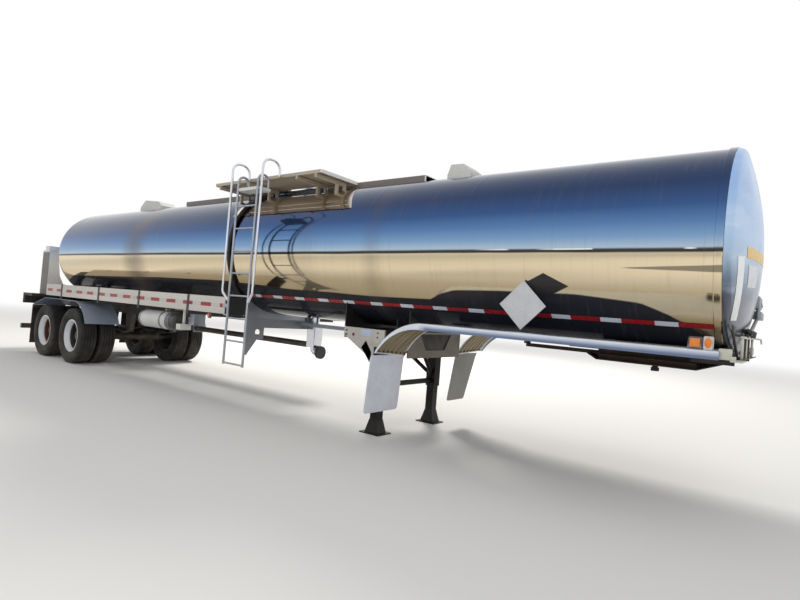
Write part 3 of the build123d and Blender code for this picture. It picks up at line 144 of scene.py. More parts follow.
def block(bm, x, y, z, bevel=0.0):
    """A block between two corners, each axis as (low, high), with its edges eased."""
    size = [abs(b - a) for a, b in (x, y, z)]
    middle = [(a + b) / 2 for a, b in (x, y, z)]
    place = Matrix.Translation(middle) @ Matrix.Diagonal((*size, 1))
    made = bmesh.ops.create_cube(bm, size=1, matrix=place)
    if bevel:
        ease(bm, {e for v in made["verts"] for e in v.link_edges}, bevel)
    return made["verts"]


def drum(bm, start, end, radius, end_radius=None, segments=24, bevel=0.0):
    """A round or tapered bar between two points, closed at both ends."""
    start, end = Vector(start), Vector(end)
    way = end - start
    place = Matrix.Translation((start + end) / 2) @ way.to_track_quat("Z", "Y").to_matrix().to_4x4()
    top = radius if end_radius is None else end_radius
    made = bmesh.ops.create_cone(bm, cap_ends=True, segments=segments, radius1=radius, radius2=top,
                                 depth=way.length, matrix=place)
    if bevel:
        all_edges = {e for v in made["verts"] for e in v.link_edges}
        ease(bm, {e for e in all_edges if any(len(f.verts) > 4 for f in e.link_faces)}, bevel)


def extruded_line(bm, verts, way):
    """Joins vertices by edges, draws that line out along a way and returns what is new."""
    edges = [bm.edges.new(pair) for pair in zip(verts, verts[1:])]
    made = bmesh.ops.extrude_edge_only(bm, edges=edges)["geom"]
    moved = [g for g in made if isinstance(g, bmesh.types.BMVert)]
    bmesh.ops.translate(bm, vec=way, verts=moved)
    return moved, [g for g in made if isinstance(g, bmesh.types.BMEdge)]


# %% Helpers for shader nodes
def add_node(tree, kind, **settings):
    made = tree.nodes.new("ShaderNode" + kind)
    for key, value in settings.items():
        setattr(made, key, value)
    return made


def feed(tree, pairs):
    """Each input is linked to a socket, or set to a constant."""
    for socket, value in pairs:
        if isinstance(value, bpy.types.NodeSocket):
            tree.links.new(value, socket)
        else:
            socket.default_value = value


def maths(tree, operation, *values):
    """A Math node on sockets or numbers."""
    made = add_node(tree, "Math", operation=operation)
    feed(tree, zip(made.inputs, values))
    return made.outputs[0]


def times(tree, first, second):
    return maths(tree, "MULTIPLY", first, second)


def away_from(tree, value, middle):
    """How far a value is from a middle, either way."""
    return maths(tree, "ABSOLUTE", maths(tree, "SUBTRACT", value, middle))


def mix(tree, factor, first, second, blend_type="MIX"):
    """Blends two colours; each may be a colour or a socket."""
    made = add_node(tree, "Mix", data_type="RGBA", blend_type=blend_type)
    feed(tree, ((made.inputs[0], factor), (made.inputs[6], first), (made.inputs[7], second)))
    return made.outputs[2]


def remap(tree, value, low, high, to_low=0.0, to_high=1.0, smooth=False):
    """Turns one range into another, and holds what lies outside it at its ends."""
    made = add_node(tree, "MapRange", interpolation_type="SMOOTHSTEP" if smooth else "LINEAR")
    for socket, number in zip(("From Min", "From Max", "To Min", "To Max"), (low, high, to_low, to_high)):
        made.inputs[socket].default_value = number
    tree.links.new(value, made.inputs["Value"])
    return made.outputs[0]


def noise(tree, coords, scale, detail=4.0, rough=0.55):
    made = add_node(tree, "TexNoise")
    for socket, number in (("Scale", scale), ("Detail", detail), ("Roughness", rough)):
        made.inputs[socket].default_value = number
    tree.links.new(coords, made.inputs["Vector"])
    return made.outputs["Fac"]


def stretched(tree, coords, scale, rotation=(0, 0, 0)):
    """Coordinates that stretch a pattern, and turn it where asked for."""
    mapping = add_node(tree, "Mapping")
    mapping.inputs["Scale"].default_value = scale
    mapping.inputs["Rotation"].default_value = rotation
    tree.links.new(coords, mapping.inputs["Vector"])
    return mapping.outputs[0]


def axis_of(tree, coords, axis):
    """One of X, Y and Z."""
    apart = add_node(tree, "SeparateXYZ")
    tree.links.new(coords, apart.inputs[0])
    return apart.outputs[axis]


def zone(tree, coords, limits):
    """1 inside a region and 0 outside; each limit is an axis, where it starts and where it is full."""
    share = None
    for axis, start, full in limits:
        value = axis_of(tree, coords, axis.upper())
        if axis == "y":      # a small y means the distance from the middle plane
            value = maths(tree, "ABSOLUTE", value)
        part = remap(tree, value, start, full)
        share = part if share is None else times(tree, share, part)
    return share


def raised(tree, shader, height, strength, distance):
    """A bump over the whole surface."""
    relief = add_node(tree, "Bump")
    relief.inputs["Strength"].default_value = strength
    relief.inputs["Distance"].default_value = distance
    tree.links.new(height, relief.inputs["Height"])
    tree.links.new(relief.outputs[0], shader.inputs["Normal"])


def darker(colour, share):
    return tuple(c * share for c in colour[:3]) + (1.0,)


def blank_material(name):
    """A new material, with its tree, its shader and its object coordinates."""
    material = bpy.data.materials.new(name)
    material.use_nodes = True
    tree = material.node_tree
    coords = add_node(tree, "TexCoord").outputs["Object"]
    return material, tree, tree.nodes["Principled BSDF"], coords


# %% [markdown]
# ## Camera
# The camera stands off the right front corner, 1.4 m above the ground, and looks back along the
# tank. Its turn is built from three angles (yaw, pitch and roll), as a photographer holds it.

# %% Camera
CAMERA_PLACE = Vector((6.793, -5.374, 1.404))
YAW, PITCH, ROLL = radians(127.226), radians(1.385), radians(4.553)
LENS_MM = 23.86

ahead = Vector((cos(YAW) * cos(PITCH), sin(YAW) * cos(PITCH), sin(PITCH)))
level = ahead.cross(Vector((0, 0, 1))).normalized()
above = level.cross(ahead)
across = level * cos(ROLL) + above * sin(ROLL)
upright = -level * sin(ROLL) + above * cos(ROLL)
camera_data = bpy.data.cameras.new("eye_height_camera")
camera_data.lens, camera_data.sensor_width, camera_data.sensor_fit = LENS_MM, 36, "HORIZONTAL"
camera_data.clip_end = 400
camera = bpy.data.objects.new("eye_height_camera", camera_data)
turned_axes = Matrix((across, upright, -ahead)).transposed().to_4x4()
camera.matrix_world = Matrix.Translation(CAMERA_PLACE) @ turned_axes
bpy.context.scene.collection.objects.link(camera)
bpy.context.scene.camera = camera
print("camera looks along", [round(v, 3) for v in ahead])

# %% [markdown]
# ## Light and floor
# A studio look: the world is white where the camera, a mirror or glass sees it, and softer where
# it lights a surface. One wide area lamp stands high on the far side, so the trailer's shadow
# falls on the floor towards the camera, and a weak one fills the near side. The lamps stay out
# of the mirrors, because a lamp's square in a polished tank looks like a fault. The floor is a
# pale matt sheet that melts into the white far away.

# %% World
WORLD_WHITE = (1.0, 1.0, 1.0, 1.0)
WORLD_FILL = 0.62
bpy.context.scene.view_settings.view_transform = "Standard"
world = bpy.data.worlds.new("studio")
world.use_nodes = True
bpy.context.scene.world = world
tree = world.node_tree
rays = add_node(tree, "LightPath").outputs
seen = maths(tree, "MAXIMUM", rays["Is Camera Ray"], rays["Is Glossy Ray"])
seen = maths(tree, "MAXIMUM", seen, rays["Is Transmission Ray"])
background = tree.nodes["Background"].inputs
background["Color"].default_value = WORLD_WHITE
tree.links.new(remap(tree, seen, 0.0, 1.0, WORLD_FILL), background["Strength"])

# %% Lamps
LAMPS = [  # name, place, aim, size across, power, colour
    ("far_side_key", (-5.0, 11.0, 13.0), (0, 0, 0.5), 5.0, 2300, (1.0, 0.97, 0.92)),
    ("near_side_fill", (9.0, -12.0, 6.0), (1.5, 0, 1.5), 8.0, 420, (0.93, 0.96, 1.0)),
]
for name, place, aim, size, power, colour in LAMPS:
    lamp_data = bpy.data.lights.new(name, "AREA")
    lamp_data.shape, lamp_data.size, lamp_data.energy, lamp_data.color = "DISK", size, power, colour
    lamp = bpy.data.objects.new(name, lamp_data)
    lamp.visible_glossy = False
    turn_to = (Vector(aim) - Vector(place)).to_track_quat("-Z", "Y").to_matrix().to_4x4()
    lamp.matrix_world = Matrix.Translation(place) @ turn_to
    bpy.context.scene.collection.objects.link(lamp)
print("lamps:", [row[0] for row in LAMPS])

# %% Floor
FLOOR_R, FLOOR_DROP = 120.0, -0.0006
FLOOR_FADE = (9.0, 40.0)      # distances where the floor starts to glow and where it is all white
floor_material, tree, matt, coords = blank_material("pale_floor")
matt.inputs["Base Color"].default_value = srgb(0.93, 0.925, 0.915)
matt.inputs["Roughness"].default_value = 0.95
matt.inputs["Specular IOR Level"].default_value = 0.1
away = add_node(tree, "VectorMath", operation="LENGTH")
tree.links.new(coords, away.inputs[0])
fade = remap(tree, away.outputs["Value"], *FLOOR_FADE, smooth=True)
blend = add_node(tree, "MixShader")
feed(tree, zip(blend.inputs, (fade, matt.outputs[0], add_node(tree, "Emission").outputs[0])))
tree.links.new(blend.outputs[0], tree.nodes["Material Output"].inputs["Surface"])
bm = bmesh.new()
bmesh.ops.create_circle(bm, cap_ends=True, segments=96, radius=FLOOR_R,
                        matrix=Matrix.Translation((0, 0, FLOOR_DROP)))
floor_mesh = bpy.data.meshes.new("pale_floor")
bm.to_mesh(floor_mesh)
bm.free()
floor_mesh.materials.append(floor_material)
floor = bpy.data.objects.new("pale_floor", floor_mesh)
bpy.context.scene.collection.objects.link(floor)
floor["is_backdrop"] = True
print("floor radius", FLOOR_R)

# %% [markdown]
# ## Weathered finishes
# Nothing on a working trailer is one even colour. Each finish starts from its own colour, gets
# large soft patches of a darker tone, a fine grain, and road dust that grows towards the ground.
# The same noises change the roughness and raise a small bump, so the gloss breaks up as well.
# Object coordinates are in metres here, so a noise scale of 80 means patches of about a
# centimetre.

# %% A weathered material
DUST, RUST = srgb(0.66, 0.61, 0.53), srgb(0.38, 0.22, 0.14)
GRAIN, GRAIN_SCALE = 0.15, 70.0


def weathered(name, colour, rough, metallic, patch, dust, bump, patch_scale=1.7, stretch=(1, 1, 1),
              dust_z=(0.1, 1.3), rust=0.0, zones=(), gloss=0.5):
    """A finish with patches, grain, dust near the ground, other tones in zones (painted shade on some parts),
    and rust if asked for.
    """
    material, tree, shader, coords = blank_material(name)
    drawn_out = stretched(tree, coords, stretch)
    wide = noise(tree, drawn_out, patch_scale, 6.0, 0.6)
    fine = noise(tree, drawn_out, GRAIN_SCALE, 3.0)
    colour = base = srgb(*colour)
    for other, limits in zones:
        base = mix(tree, zone(tree, coords, limits), base, srgb(*other))
    worn = mix(tree, 1.0, base, (patch, patch, patch, 1.0), blend_type="MULTIPLY")
    tone = mix(tree, remap(tree, wide, 0.35, 0.7), base, worn)
    tone = mix(tree, remap(tree, fine, 0.35, 0.7, 0.0, GRAIN), tone, darker(colour, 0.25))
    if rust:
        spots = noise(tree, coords, 9.0, 8.0, 0.7)
        tone = mix(tree, remap(tree, spots, 0.5, 0.72, 0.0, rust), tone, RUST)
    if dust:
        low = remap(tree, axis_of(tree, coords, "Z"), dust_z[1], dust_z[0], 0.15, 1.0)
        speck = remap(tree, noise(tree, coords, 5.0, 6.0, 0.65), 0.3, 0.75, 0.0, dust)
        tone = mix(tree, times(tree, low, speck), tone, DUST)
    tree.links.new(tone, shader.inputs["Base Color"])
    dullness = remap(tree, wide, 0.3, 0.75, rough * 0.8, min(1.0, rough * 1.3))
    tree.links.new(dullness, shader.inputs["Roughness"])
    shader.inputs["Metallic"].default_value = metallic
    shader.inputs["Specular IOR Level"].default_value = gloss
    raised(tree, shader, fine, bump, 0.002)
    return material


# %% Finishes of the trailer's parts
BRUSHED = dict(stretch=(0.12, 1, 1))
# painted shade: dark tones on the saddles above the frame, inside the support box and on its front panel
SUPPORT_SHADE_ZONES = [  # other tone, region: axis, where it starts, where it is full
    ((0.09, 0.09, 0.10), [("Z", 1.193, 1.197)]),
    ((0.10, 0.10, 0.11), [("y", 0.615, 0.600), ("X", st(8.460), st(8.440))]),
    ((0.40, 0.37, 0.33), [("X", st(8.440), st(8.460)), ("Z", 1.20, 1.18)]),
]
# painted shade: the lower part of each fender's lip, bluish grey
FENDER_LIP_SHADE_ZONES = [((0.42, 0.48, 0.60), [("Z", 1.304, 1.268), ("X", st(9.0), st(9.1))])]
WALKWAY_ZONES = [((0.95, 0.94, 0.92), [("X", st(8.280), st(8.290))])]
DECK_ZONES = [
    ((0.66, 0.67, 0.68), [("Z", 3.0860, 3.0870)]),
    ((0.96, 0.96, 0.95), [("X", st(7.180), st(7.190))]),
]
AIR_TANK_ZONES = [((0.13, 0.13, 0.14), [("X", st(4.335), st(4.345))])]
# painted shade: the cabinets' outer side faces, below their tops
CABINET_SHADE_ZONES = [((0.34, 0.31, 0.29), [("y", 0.890, 0.899), ("Z", 2.13, 2.10)])]
# painted shade: the left flap is darker than the right one
LEFT_FLAP_SHADE_ZONES = [((0.50, 0.50, 0.48), [("Y", 0.0, 0.1)])]
RIM_SHADE_DEPTH = ("y", 1.116, 1.098)      # deeper in, a rim is darker: painted shade inside the wheel, rust red at the rear axle
FINISHES = {  # colour, roughness, metallic, patch, dust, bump, what else differs from the usual
    "bright_steel": ((0.88, 0.89, 0.91), 0.2, 1.0, 0.85, 0.05, 0.06, {}),
    "bright_aluminium": ((0.82, 0.85, 0.91), 0.24, 0.9, 0.76, 0.15, 0.08, BRUSHED),
    "wheel_fender_sheet": ((0.66, 0.71, 0.79), 0.38, 0.3, 0.7, 0.2, 0.1, BRUSHED),
    "support_sheet": ((0.74, 0.73, 0.70), 0.45, 0.35, 0.82, 0.3, 0.1, dict(zones=SUPPORT_SHADE_ZONES)),
    "fender_sheet": ((0.84, 0.87, 0.92), 0.24, 0.8, 0.76, 0.15, 0.08, dict(BRUSHED, zones=FENDER_LIP_SHADE_ZONES)),
    "work_deck_sheet": ((0.74, 0.69, 0.62), 0.5, 0.1, 0.75, 0.0, 0.25, dict(BRUSHED, zones=DECK_ZONES)),
    "walkway_sheet": ((0.50, 0.47, 0.45), 0.5, 0.3, 0.75, 0.0, 0.25, dict(BRUSHED, zones=WALKWAY_ZONES)),
    "placard_plate": ((0.80, 0.80, 0.81), 0.5, 0.05, 0.88, 0.1, 0.1, dict(patch_scale=9)),
    "air_tank_paint": ((0.84, 0.84, 0.83), 0.4, 0.0, 0.85, 0.2, 0.1, dict(zones=AIR_TANK_ZONES)),
    "ladder_aluminium": ((0.68, 0.70, 0.73), 0.3, 0.9, 0.74, 0.1, 0.1, {}),
    "grey_aluminium": ((0.58, 0.60, 0.63), 0.45, 0.7, 0.72, 0.3, 0.12, {}),
    "cream_aluminium": ((0.80, 0.80, 0.74), 0.4, 0.4, 0.75, 0.2, 0.12, {}),
    "deck_aluminium": ((0.58, 0.53, 0.46), 0.55, 0.3, 0.7, 0.0, 0.25, BRUSHED),
    "tray_aluminium": ((0.80, 0.78, 0.75), 0.42, 0.3, 0.8, 0.2, 0.08, BRUSHED),
    "dark_aluminium": ((0.24, 0.25, 0.27), 0.5, 0.5, 0.7, 0.25, 0.15, {}),
    "dark_steel": ((0.13, 0.13, 0.14), 0.6, 0.1, 0.6, 0.4, 0.4, dict(rust=0.5)),
    "black_paint": ((0.030, 0.030, 0.035), 0.35, 0.0, 0.6, 0.10, 0.12, dict(dust_z=(0.0, 0.3), gloss=0.2)),
    "coupler_steel": ((0.20, 0.15, 0.12), 0.7, 0.2, 0.6, 0.2, 0.6, dict(rust=0.7)),
    "pin_steel": ((0.10, 0.10, 0.10), 0.35, 0.6, 0.5, 0.1, 0.2, {}),
    "white_paint": ((0.86, 0.86, 0.84), 0.42, 0.0, 0.85, 0.3, 0.1, {}),
    "cabinet_paint": ((0.90, 0.91, 0.92), 0.4, 0.0, 0.82, 0.15, 0.1, dict(zones=CABINET_SHADE_ZONES)),
    "wheel_paint": ((0.90, 0.89, 0.87), 0.45, 0.0, 0.8, 0.35, 0.15, dict(dust_z=(0.2, 0.9))),
    "tyre_rubber": ((0.065, 0.065, 0.07), 0.8, 0.0, 0.75, 0.22, 0.4, dict(patch_scale=4, dust_z=(0.0, 0.8))),
    "black_rubber": ((0.05, 0.05, 0.055), 0.7, 0.0, 0.7, 0.3, 0.3, dict(dust_z=(0.1, 0.9))),
    "white_rubber": ((0.90, 0.92, 0.97), 0.45, 0.0, 0.85, 0.3, 0.2,
                     dict(patch_scale=3, dust_z=(0.2, 0.8), zones=LEFT_FLAP_SHADE_ZONES)),
    "hose_rubber": ((0.05, 0.05, 0.055), 0.5, 0.0, 0.7, 0.1, 0.2, {}),
    "black_plastic": ((0.07, 0.07, 0.075), 0.4, 0.0, 0.7, 0.2, 0.1, {}),
    "red_lens": ((0.62, 0.05, 0.05), 0.15, 0.0, 0.75, 0.2, 0.05, {}),
    "polished_steel": ((0.55, 0.60, 0.68), 0.12, 1.0, 0.8, 0.0, 0.02, {}),
}
finish = {name: weathered("finish_" + name, *row[:-1], **row[-1]) for name, row in FINISHES.items()}
NODE_FINISH = {  # nodes whose finish isn't the one that their material's name gives
    "landing_support": "support_sheet", "wheel_fenders": "wheel_fender_sheet",
    "air_tank_straps": "grey_aluminium", "tray_arms": "dark_aluminium", "handrails": "bright_steel",
    "work_deck": "work_deck_sheet", "top_walkway": "walkway_sheet", "placard_holders": "placard_plate",
    "air_tank": "air_tank_paint",
}
for node_name, cad_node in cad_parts.items():
    slot_name = cad_node.material_slots[0].material.name.split(".")[0]
    cad_node.material_slots[0].material = finish[NODE_FINISH.get(node_name, slot_name)]
print("finishes:", len(finish))

# %% [markdown]
# ## The polished tank
# The tank is a stainless jacket polished like a mirror, so it has no colour of its own: it
# carries the sky's blue above, a pale line at the horizon, the yard's tan below and the dark of
# its own shadow near the belly. A plain studio has none of these, so the tones go into the
# metal's colour by height, and the shape of the dark band by a curve along the tank. The rest
# is real mirror: ladder, deck and tray show in it. The shell itself is one outline spun about
# the tank's middle line, with raised bands where its jacket sheets meet.

# %% The polished jacket's material
TANK_R, TANK_Z = 0.900, 2.130
TANK_REAR_X, TANK_FRONT_X = st(-0.400), st(11.490)
TONE_HEIGHTS = (1.22, 3.05)      # the tones are spread between these
HEIGHT_TONES = [  # height, colour as the eye sees it
    (1.23, (0.30, 0.29, 0.28)), (1.34, (0.70, 0.65, 0.56)), (1.60, (0.86, 0.78, 0.63)),
    (1.73, (0.88, 0.80, 0.65)), (1.80, (0.94, 0.87, 0.74)), (1.95, (0.90, 0.84, 0.71)),
    (2.030, (0.85, 0.79, 0.67)), (2.042, (0.22, 0.21, 0.20)), (2.062, (0.24, 0.24, 0.25)),
    (2.075, (0.66, 0.73, 0.79)), (2.16, (0.48, 0.61, 0.75)), (2.28, (0.34, 0.48, 0.66)),
    (2.42, (0.23, 0.34, 0.52)), (2.62, (0.19, 0.25, 0.38)), (2.85, (0.19, 0.25, 0.36)),
    (3.04, (0.19, 0.25, 0.35)),
]
RIPPLE = 0.008      # how far the tones wander up and down
HORIZON_Z, ROOFS_ALONG = 2.066, (st(9.4), st(9.7))
DECK_MIRRORED = [("Z", 2.600, 2.616), ("Y", -0.20, -0.24), ("X", st(5.30), st(5.32))]
DECK_MIRROR_END, DECK_MIRROR_SLANT = (7.640, 2.614), 0.77    # station and height of its front end; lean
SHADOW_EDGE = [  # station, height of the dark band's upper edge
    (-0.73, 1.46), (0.01, 1.645), (3.46, 1.679), (5.22, 1.672), (6.63, 1.600), (7.36, 1.588),
    (8.10, 1.572), (8.83, 1.575), (8.98, 1.638), (9.15, 1.676), (9.67, 1.690), (10.40, 1.688),
    (10.92, 1.639), (11.14, 1.550), (11.22, 1.502), (11.35, 1.424), (11.46, 1.332),
]
SHADOW_ALONG = (-6.2, 6.6)      # the edge's heights are spread between these
SHADOW_TONE = srgb(0.125, 0.135, 0.170)
SMUDGES = [  # station, half width, strength: soft stains that run down the jacket
    (2.70, 0.55, 0.62), (8.10, 0.22, 0.22), (7.00, 0.30, 0.15),
]
SMUDGE_TONE = srgb(0.36, 0.33, 0.31)
PLACARD_MIRRORED = (10.116, 1.751, 0.221, 0.108)   # station, height and half sizes of its dark reflection
TREELINE = (10.75, 1.911, 0.026)  # where a dark streak starts, its height, its half height at the nose


def colour_ramp(tree, value, stops, low, high):
    """A ColorRamp whose stops are given in the value's own units."""
    made = add_node(tree, "ValToRGB")
    ramp = made.color_ramp
    while len(ramp.elements) > 1:
        ramp.elements.remove(ramp.elements[-1])
    for i, (at, colour) in enumerate(stops):
        position = (at - low) / (high - low)
        element = ramp.elements[0] if i == 0 else ramp.elements.new(position)
        element.position = position
        element.color = colour
    tree.links.new(remap(tree, value, low, high), made.inputs["Fac"])
    return made.outputs["Color"]


def far_roofs(tree, coords, along, height, tone):
    """Painted reflection of pale roofs far away, in short stretches on the horizon."""
    spread = noise(tree, stretched(tree, coords, (2.6, 0.01, 0.01)), 1.0, 1.0)
    on_line = remap(tree, away_from(tree, height, HORIZON_Z), 0.008, 0.005)
    there = times(tree, remap(tree, spread, 0.50, 0.53), on_line)
    there = times(tree, there, remap(tree, along, *ROOFS_ALONG))
    return mix(tree, there, tone, srgb(0.86, 0.88, 0.88))


def treeline(tree, along, height, tone):
    """Painted reflection of a treeline: a dark streak that widens towards the nose."""
    start, level, half = TREELINE
    thick = remap(tree, along, st(start), TANK_FRONT_X, 0.001, half)
    inside = remap(tree, maths(tree, "SUBTRACT", away_from(tree, height, level), thick), 0.004, -0.002)
    there = times(tree, inside, remap(tree, along, st(start), st(start + 0.1), 0.0, 0.75))
    return mix(tree, there, tone, srgb(0.36, 0.34, 0.31))


def dark_reflections(tree, along, up, height):
    """Where the trailer's own shadow on the ground and a placard's back are mirrored."""
    edge_stops = [(st(station), (z - 1.0, z - 1.0, z - 1.0, 1.0)) for station, z in SHADOW_EDGE]
    edge = colour_ramp(tree, along, edge_stops, *SHADOW_ALONG)
    shade = remap(tree, maths(tree, "SUBTRACT", edge, height), -1.006, -0.992, smooth=True)
    station, level, half_x, half_z = PLACARD_MIRRORED
    beside = remap(tree, away_from(tree, along, st(station)), 0.0, 3 * half_x, 0.0, 3.0)
    over = remap(tree, away_from(tree, up, level), 0.0, 3 * half_z, 0.0, 3.0)
    diamond = remap(tree, maths(tree, "ADD", beside, over), 1.04, 0.98)
    return maths(tree, "MAXIMUM", shade, diamond)


def under_the_deck(tree, coords, along, up, tone):
    """The deck hides the sky, so the metal below it is bright and mirrors the planks."""
    slanted = maths(tree, "ADD", along, times(tree, up, DECK_MIRROR_SLANT))
    end = st(DECK_MIRROR_END[0]) + DECK_MIRROR_END[1] * DECK_MIRROR_SLANT
    behind_end = remap(tree, slanted, end, end - 0.015)
    there = times(tree, zone(tree, coords, DECK_MIRRORED), behind_end)
    return mix(tree, there, tone, srgb(0.92, 0.88, 0.84))


def streaks_and_stains(tree, coords, along, tone):
    """Rain streaks, and soft stains that run down the jacket."""
    drips = noise(tree, stretched(tree, coords, (7.0, 1.0, 0.25)), 4.0, 5.0, 0.65)
    tone = mix(tree, remap(tree, drips, 0.55, 0.85, 0.0, 0.22), tone, srgb(0.45, 0.43, 0.40))
    for station, half_width, amount in SMUDGES:
        near = remap(tree, away_from(tree, along, st(station)), half_width, 0.0, 0.0, amount, smooth=True)
        blotch = times(tree, near, remap(tree, noise(tree, coords, 2.4, 4.0), 0.2, 0.6, 0.6, 1.0))
        tone = mix(tree, blotch, tone, SMUDGE_TONE)
    return tone


def polished(name, rough):
    """The jacket's metal, with the yard, the sky and dark reflections in its colour."""
    material, tree, shader, coords = blank_material(name)
    along, up = axis_of(tree, coords, "X"), axis_of(tree, coords, "Z")
    rippled = stretched(tree, coords, (0.5, 1.0, 6.0))
    wave = remap(tree, noise(tree, rippled, 1.0, 3.0), 0.2, 0.8, -RIPPLE, RIPPLE)
    height = maths(tree, "ADD", up, wave)
    tone = colour_ramp(tree, height, [(z, srgb(*colour)) for z, colour in HEIGHT_TONES], *TONE_HEIGHTS)
    tone = far_roofs(tree, coords, along, height, tone)
    tone = treeline(tree, along, height, tone)
    shade = dark_reflections(tree, along, up, height)
    uneven = remap(tree, noise(tree, rippled, 0.7, 2.0), 0.3, 0.7, 0.965, 1.0)
    tone = mix(tree, times(tree, shade, uneven), tone, SHADOW_TONE)
    tone = under_the_deck(tree, coords, along, up, tone)
    tone = streaks_and_stains(tree, coords, along, tone)
    tree.links.new(tone, shader.inputs["Base Color"])
    smudge = noise(tree, coords, 2.2, 6.0, 0.6)
    tree.links.new(remap(tree, smudge, 0.35, 0.75, rough, rough * 2.4), shader.inputs["Roughness"])
    tree.links.new(remap(tree, shade, 0.7, 1.0, 1.0, 0.05), shader.inputs["Metallic"])
    tree.links.new(remap(tree, shade, 0.7, 1.0, 0.5, 0.04), shader.inputs["Specular IOR Level"])
    raised(tree, shader, noise(tree, coords, 1.4, 2.0), 0.12, 0.006)
    return material


jacket_finish = polished("mirror_jacket", 0.055)
print("height tones:", len(HEIGHT_TONES))

# %% The jacket
REAR_RISE, REAR_KNUCKLE_R = 0.600, 0.450
FRONT_RISE, FRONT_KNUCKLE_R = 0.196, 0.060
RIM_BAND_W, RIM_BAND_T = 0.060, 0.010
SEAM_STATIONS = [3.450, 5.30, 7.965, 9.261, 10.367]
SEAM_HALF, SEAM_RISE, SEAM_SLOPE = 0.022, 0.0007, 0.004


def crown_radius(rise, knuckle_r):
    """Radius of a dished head's wide middle arc."""
    return (rise ** 2 + (TANK_R - knuckle_r) ** 2 - knuckle_r ** 2) / (2 * (rise - knuckle_r))


def head_profile(rise, knuckle_r, knuckle_steps=12, crown_steps=24):
    """(depth, radius) pairs of a dished head, from the shell's edge to its middle."""
    crown_r = crown_radius(rise, knuckle_r)
    centre = rise - crown_r
    tangent = asin((TANK_R - knuckle_r) / hypot(centre, TANK_R - knuckle_r))
    points = []
    for i in range(knuckle_steps + 1):
        a = pi / 2 + (tangent - pi / 2) * i / knuckle_steps
        points.append((knuckle_r * cos(a), TANK_R - knuckle_r + knuckle_r * sin(a)))
    for i in range(1, crown_steps + 1):
        a = tangent * (1 - i / crown_steps)
        points.append((centre + crown_r * cos(a), crown_r * sin(a)))
    return points


outline = [(TANK_REAR_X - depth, r) for depth, r in reversed(head_profile(REAR_RISE, REAR_KNUCKLE_R))]
for station in SEAM_STATIONS:
    x = st(station)
    outline += [(x - SEAM_HALF - SEAM_SLOPE, TANK_R), (x - SEAM_HALF, TANK_R + SEAM_RISE),
                (x + SEAM_HALF, TANK_R + SEAM_RISE), (x + SEAM_HALF + SEAM_SLOPE, TANK_R)]
band_r = TANK_R + RIM_BAND_T
outline += [(TANK_FRONT_X - RIM_BAND_W, TANK_R), (TANK_FRONT_X - RIM_BAND_W + 0.003, band_r - 0.002),
            (TANK_FRONT_X - RIM_BAND_W + 0.008, band_r), (TANK_FRONT_X - 0.008, band_r),
            (TANK_FRONT_X - 0.002, band_r - 0.003), (TANK_FRONT_X, TANK_R - 0.01)]
bm = bmesh.new()
turn(bm, outline, (0, 0, TANK_Z), (1, 0, 0), steps=192)
make_piece("polished_jacket", bm, jacket_finish, replaces=("tank_jacket",), slot="polished_steel", smooth=9)

# %% [markdown]
# ## The front head
# The head is a shallow dish, less polished than the jacket. Its colour holds a painted reflection:
# the sky as a soft pale blue with a few painted brighter streaks of highlight, and grey lower down,
# near the coupler, where it mirrors the ground and the trailer's shadow.
# It is the same kind of outline spun again: a tight knuckle arc, then a wide crown arc.

# %% Front head
# painted reflection: sky above, ground and the trailer's shadow below
HEAD_TONES = [  # height, colour as the eye sees it
    (1.23, (0.42, 0.43, 0.46)), (1.42, (0.50, 0.51, 0.54)), (1.60, (0.43, 0.44, 0.48)),
    (1.74, (0.38, 0.41, 0.48)), (1.86, (0.48, 0.54, 0.62)), (1.98, (0.62, 0.70, 0.78)),
    (2.20, (0.66, 0.76, 0.87)), (2.60, (0.58, 0.70, 0.86)), (3.04, (0.62, 0.74, 0.90)),
]


def dished(name):
    """The head's duller metal: painted reflection as tones by height, painted highlight streaks and grime."""
    material, tree, shader, coords = blank_material(name)
    stops = [(z, srgb(*colour)) for z, colour in HEAD_TONES]
    tone = colour_ramp(tree, axis_of(tree, coords, "Z"), stops, *TONE_HEIGHTS)
    slanting = stretched(tree, coords, (1.0, 1.2, 3.2), rotation=(0.45, 0, 0))
    # painted highlight: pale slanting streaks
    pale = remap(tree, noise(tree, slanting, 1.3, 5.0, 0.6), 0.5, 0.72, 0.0, 0.6)
    tone = mix(tree, pale, tone, srgb(0.82, 0.87, 0.92))
    grime = remap(tree, noise(tree, coords, 3.0, 7.0, 0.7), 0.55, 0.8, 0.0, 0.3)
    tone = mix(tree, grime, tone, srgb(0.40, 0.40, 0.40))
    tree.links.new(tone, shader.inputs["Base Color"])
    dullness = remap(tree, noise(tree, coords, 2.5, 5.0), 0.3, 0.75, 0.16, 0.34)
    tree.links.new(dullness, shader.inputs["Roughness"])
    shader.inputs["Metallic"].default_value = 0.95
    raised(tree, shader, noise(tree, coords, 2.0, 2.0), 0.1, 0.01)
    return material


bm = bmesh.new()
turn(bm, [(TANK_FRONT_X + depth, r) for depth, r in head_profile(FRONT_RISE, FRONT_KNUCKLE_R)],
     (0, 0, TANK_Z), (1, 0, 0), steps=160)
make_piece("dished_front_head", bm, dished("dished_head"), replaces=("front_head",), slot="polished_steel",
           smooth=60)

# %% [markdown]
# ## Reflective tape on the tank
# Red and white blocks of tape run along the lower side of the jacket and follow its curve. Each
# block starts as one straight edge along the tank that is spun a few degrees about the tank's
# middle line, then gets a film's thickness. White blocks repeat at an even pitch, and red fills
# what lies between.

# %% Tape on the jacket
TAPE_DEG, TAPE_H, TAPE_LIFT, TAPE_T = 135.5, 0.050, 0.0022, 0.0008
TAPE_REAR, TAPE_FRONT = 5.73, 11.462
WHITE_FIRST, WHITE_PITCH, WHITE_LEN = 11.011, 0.4376, 0.175
TAPE_GRAIN = 260.0


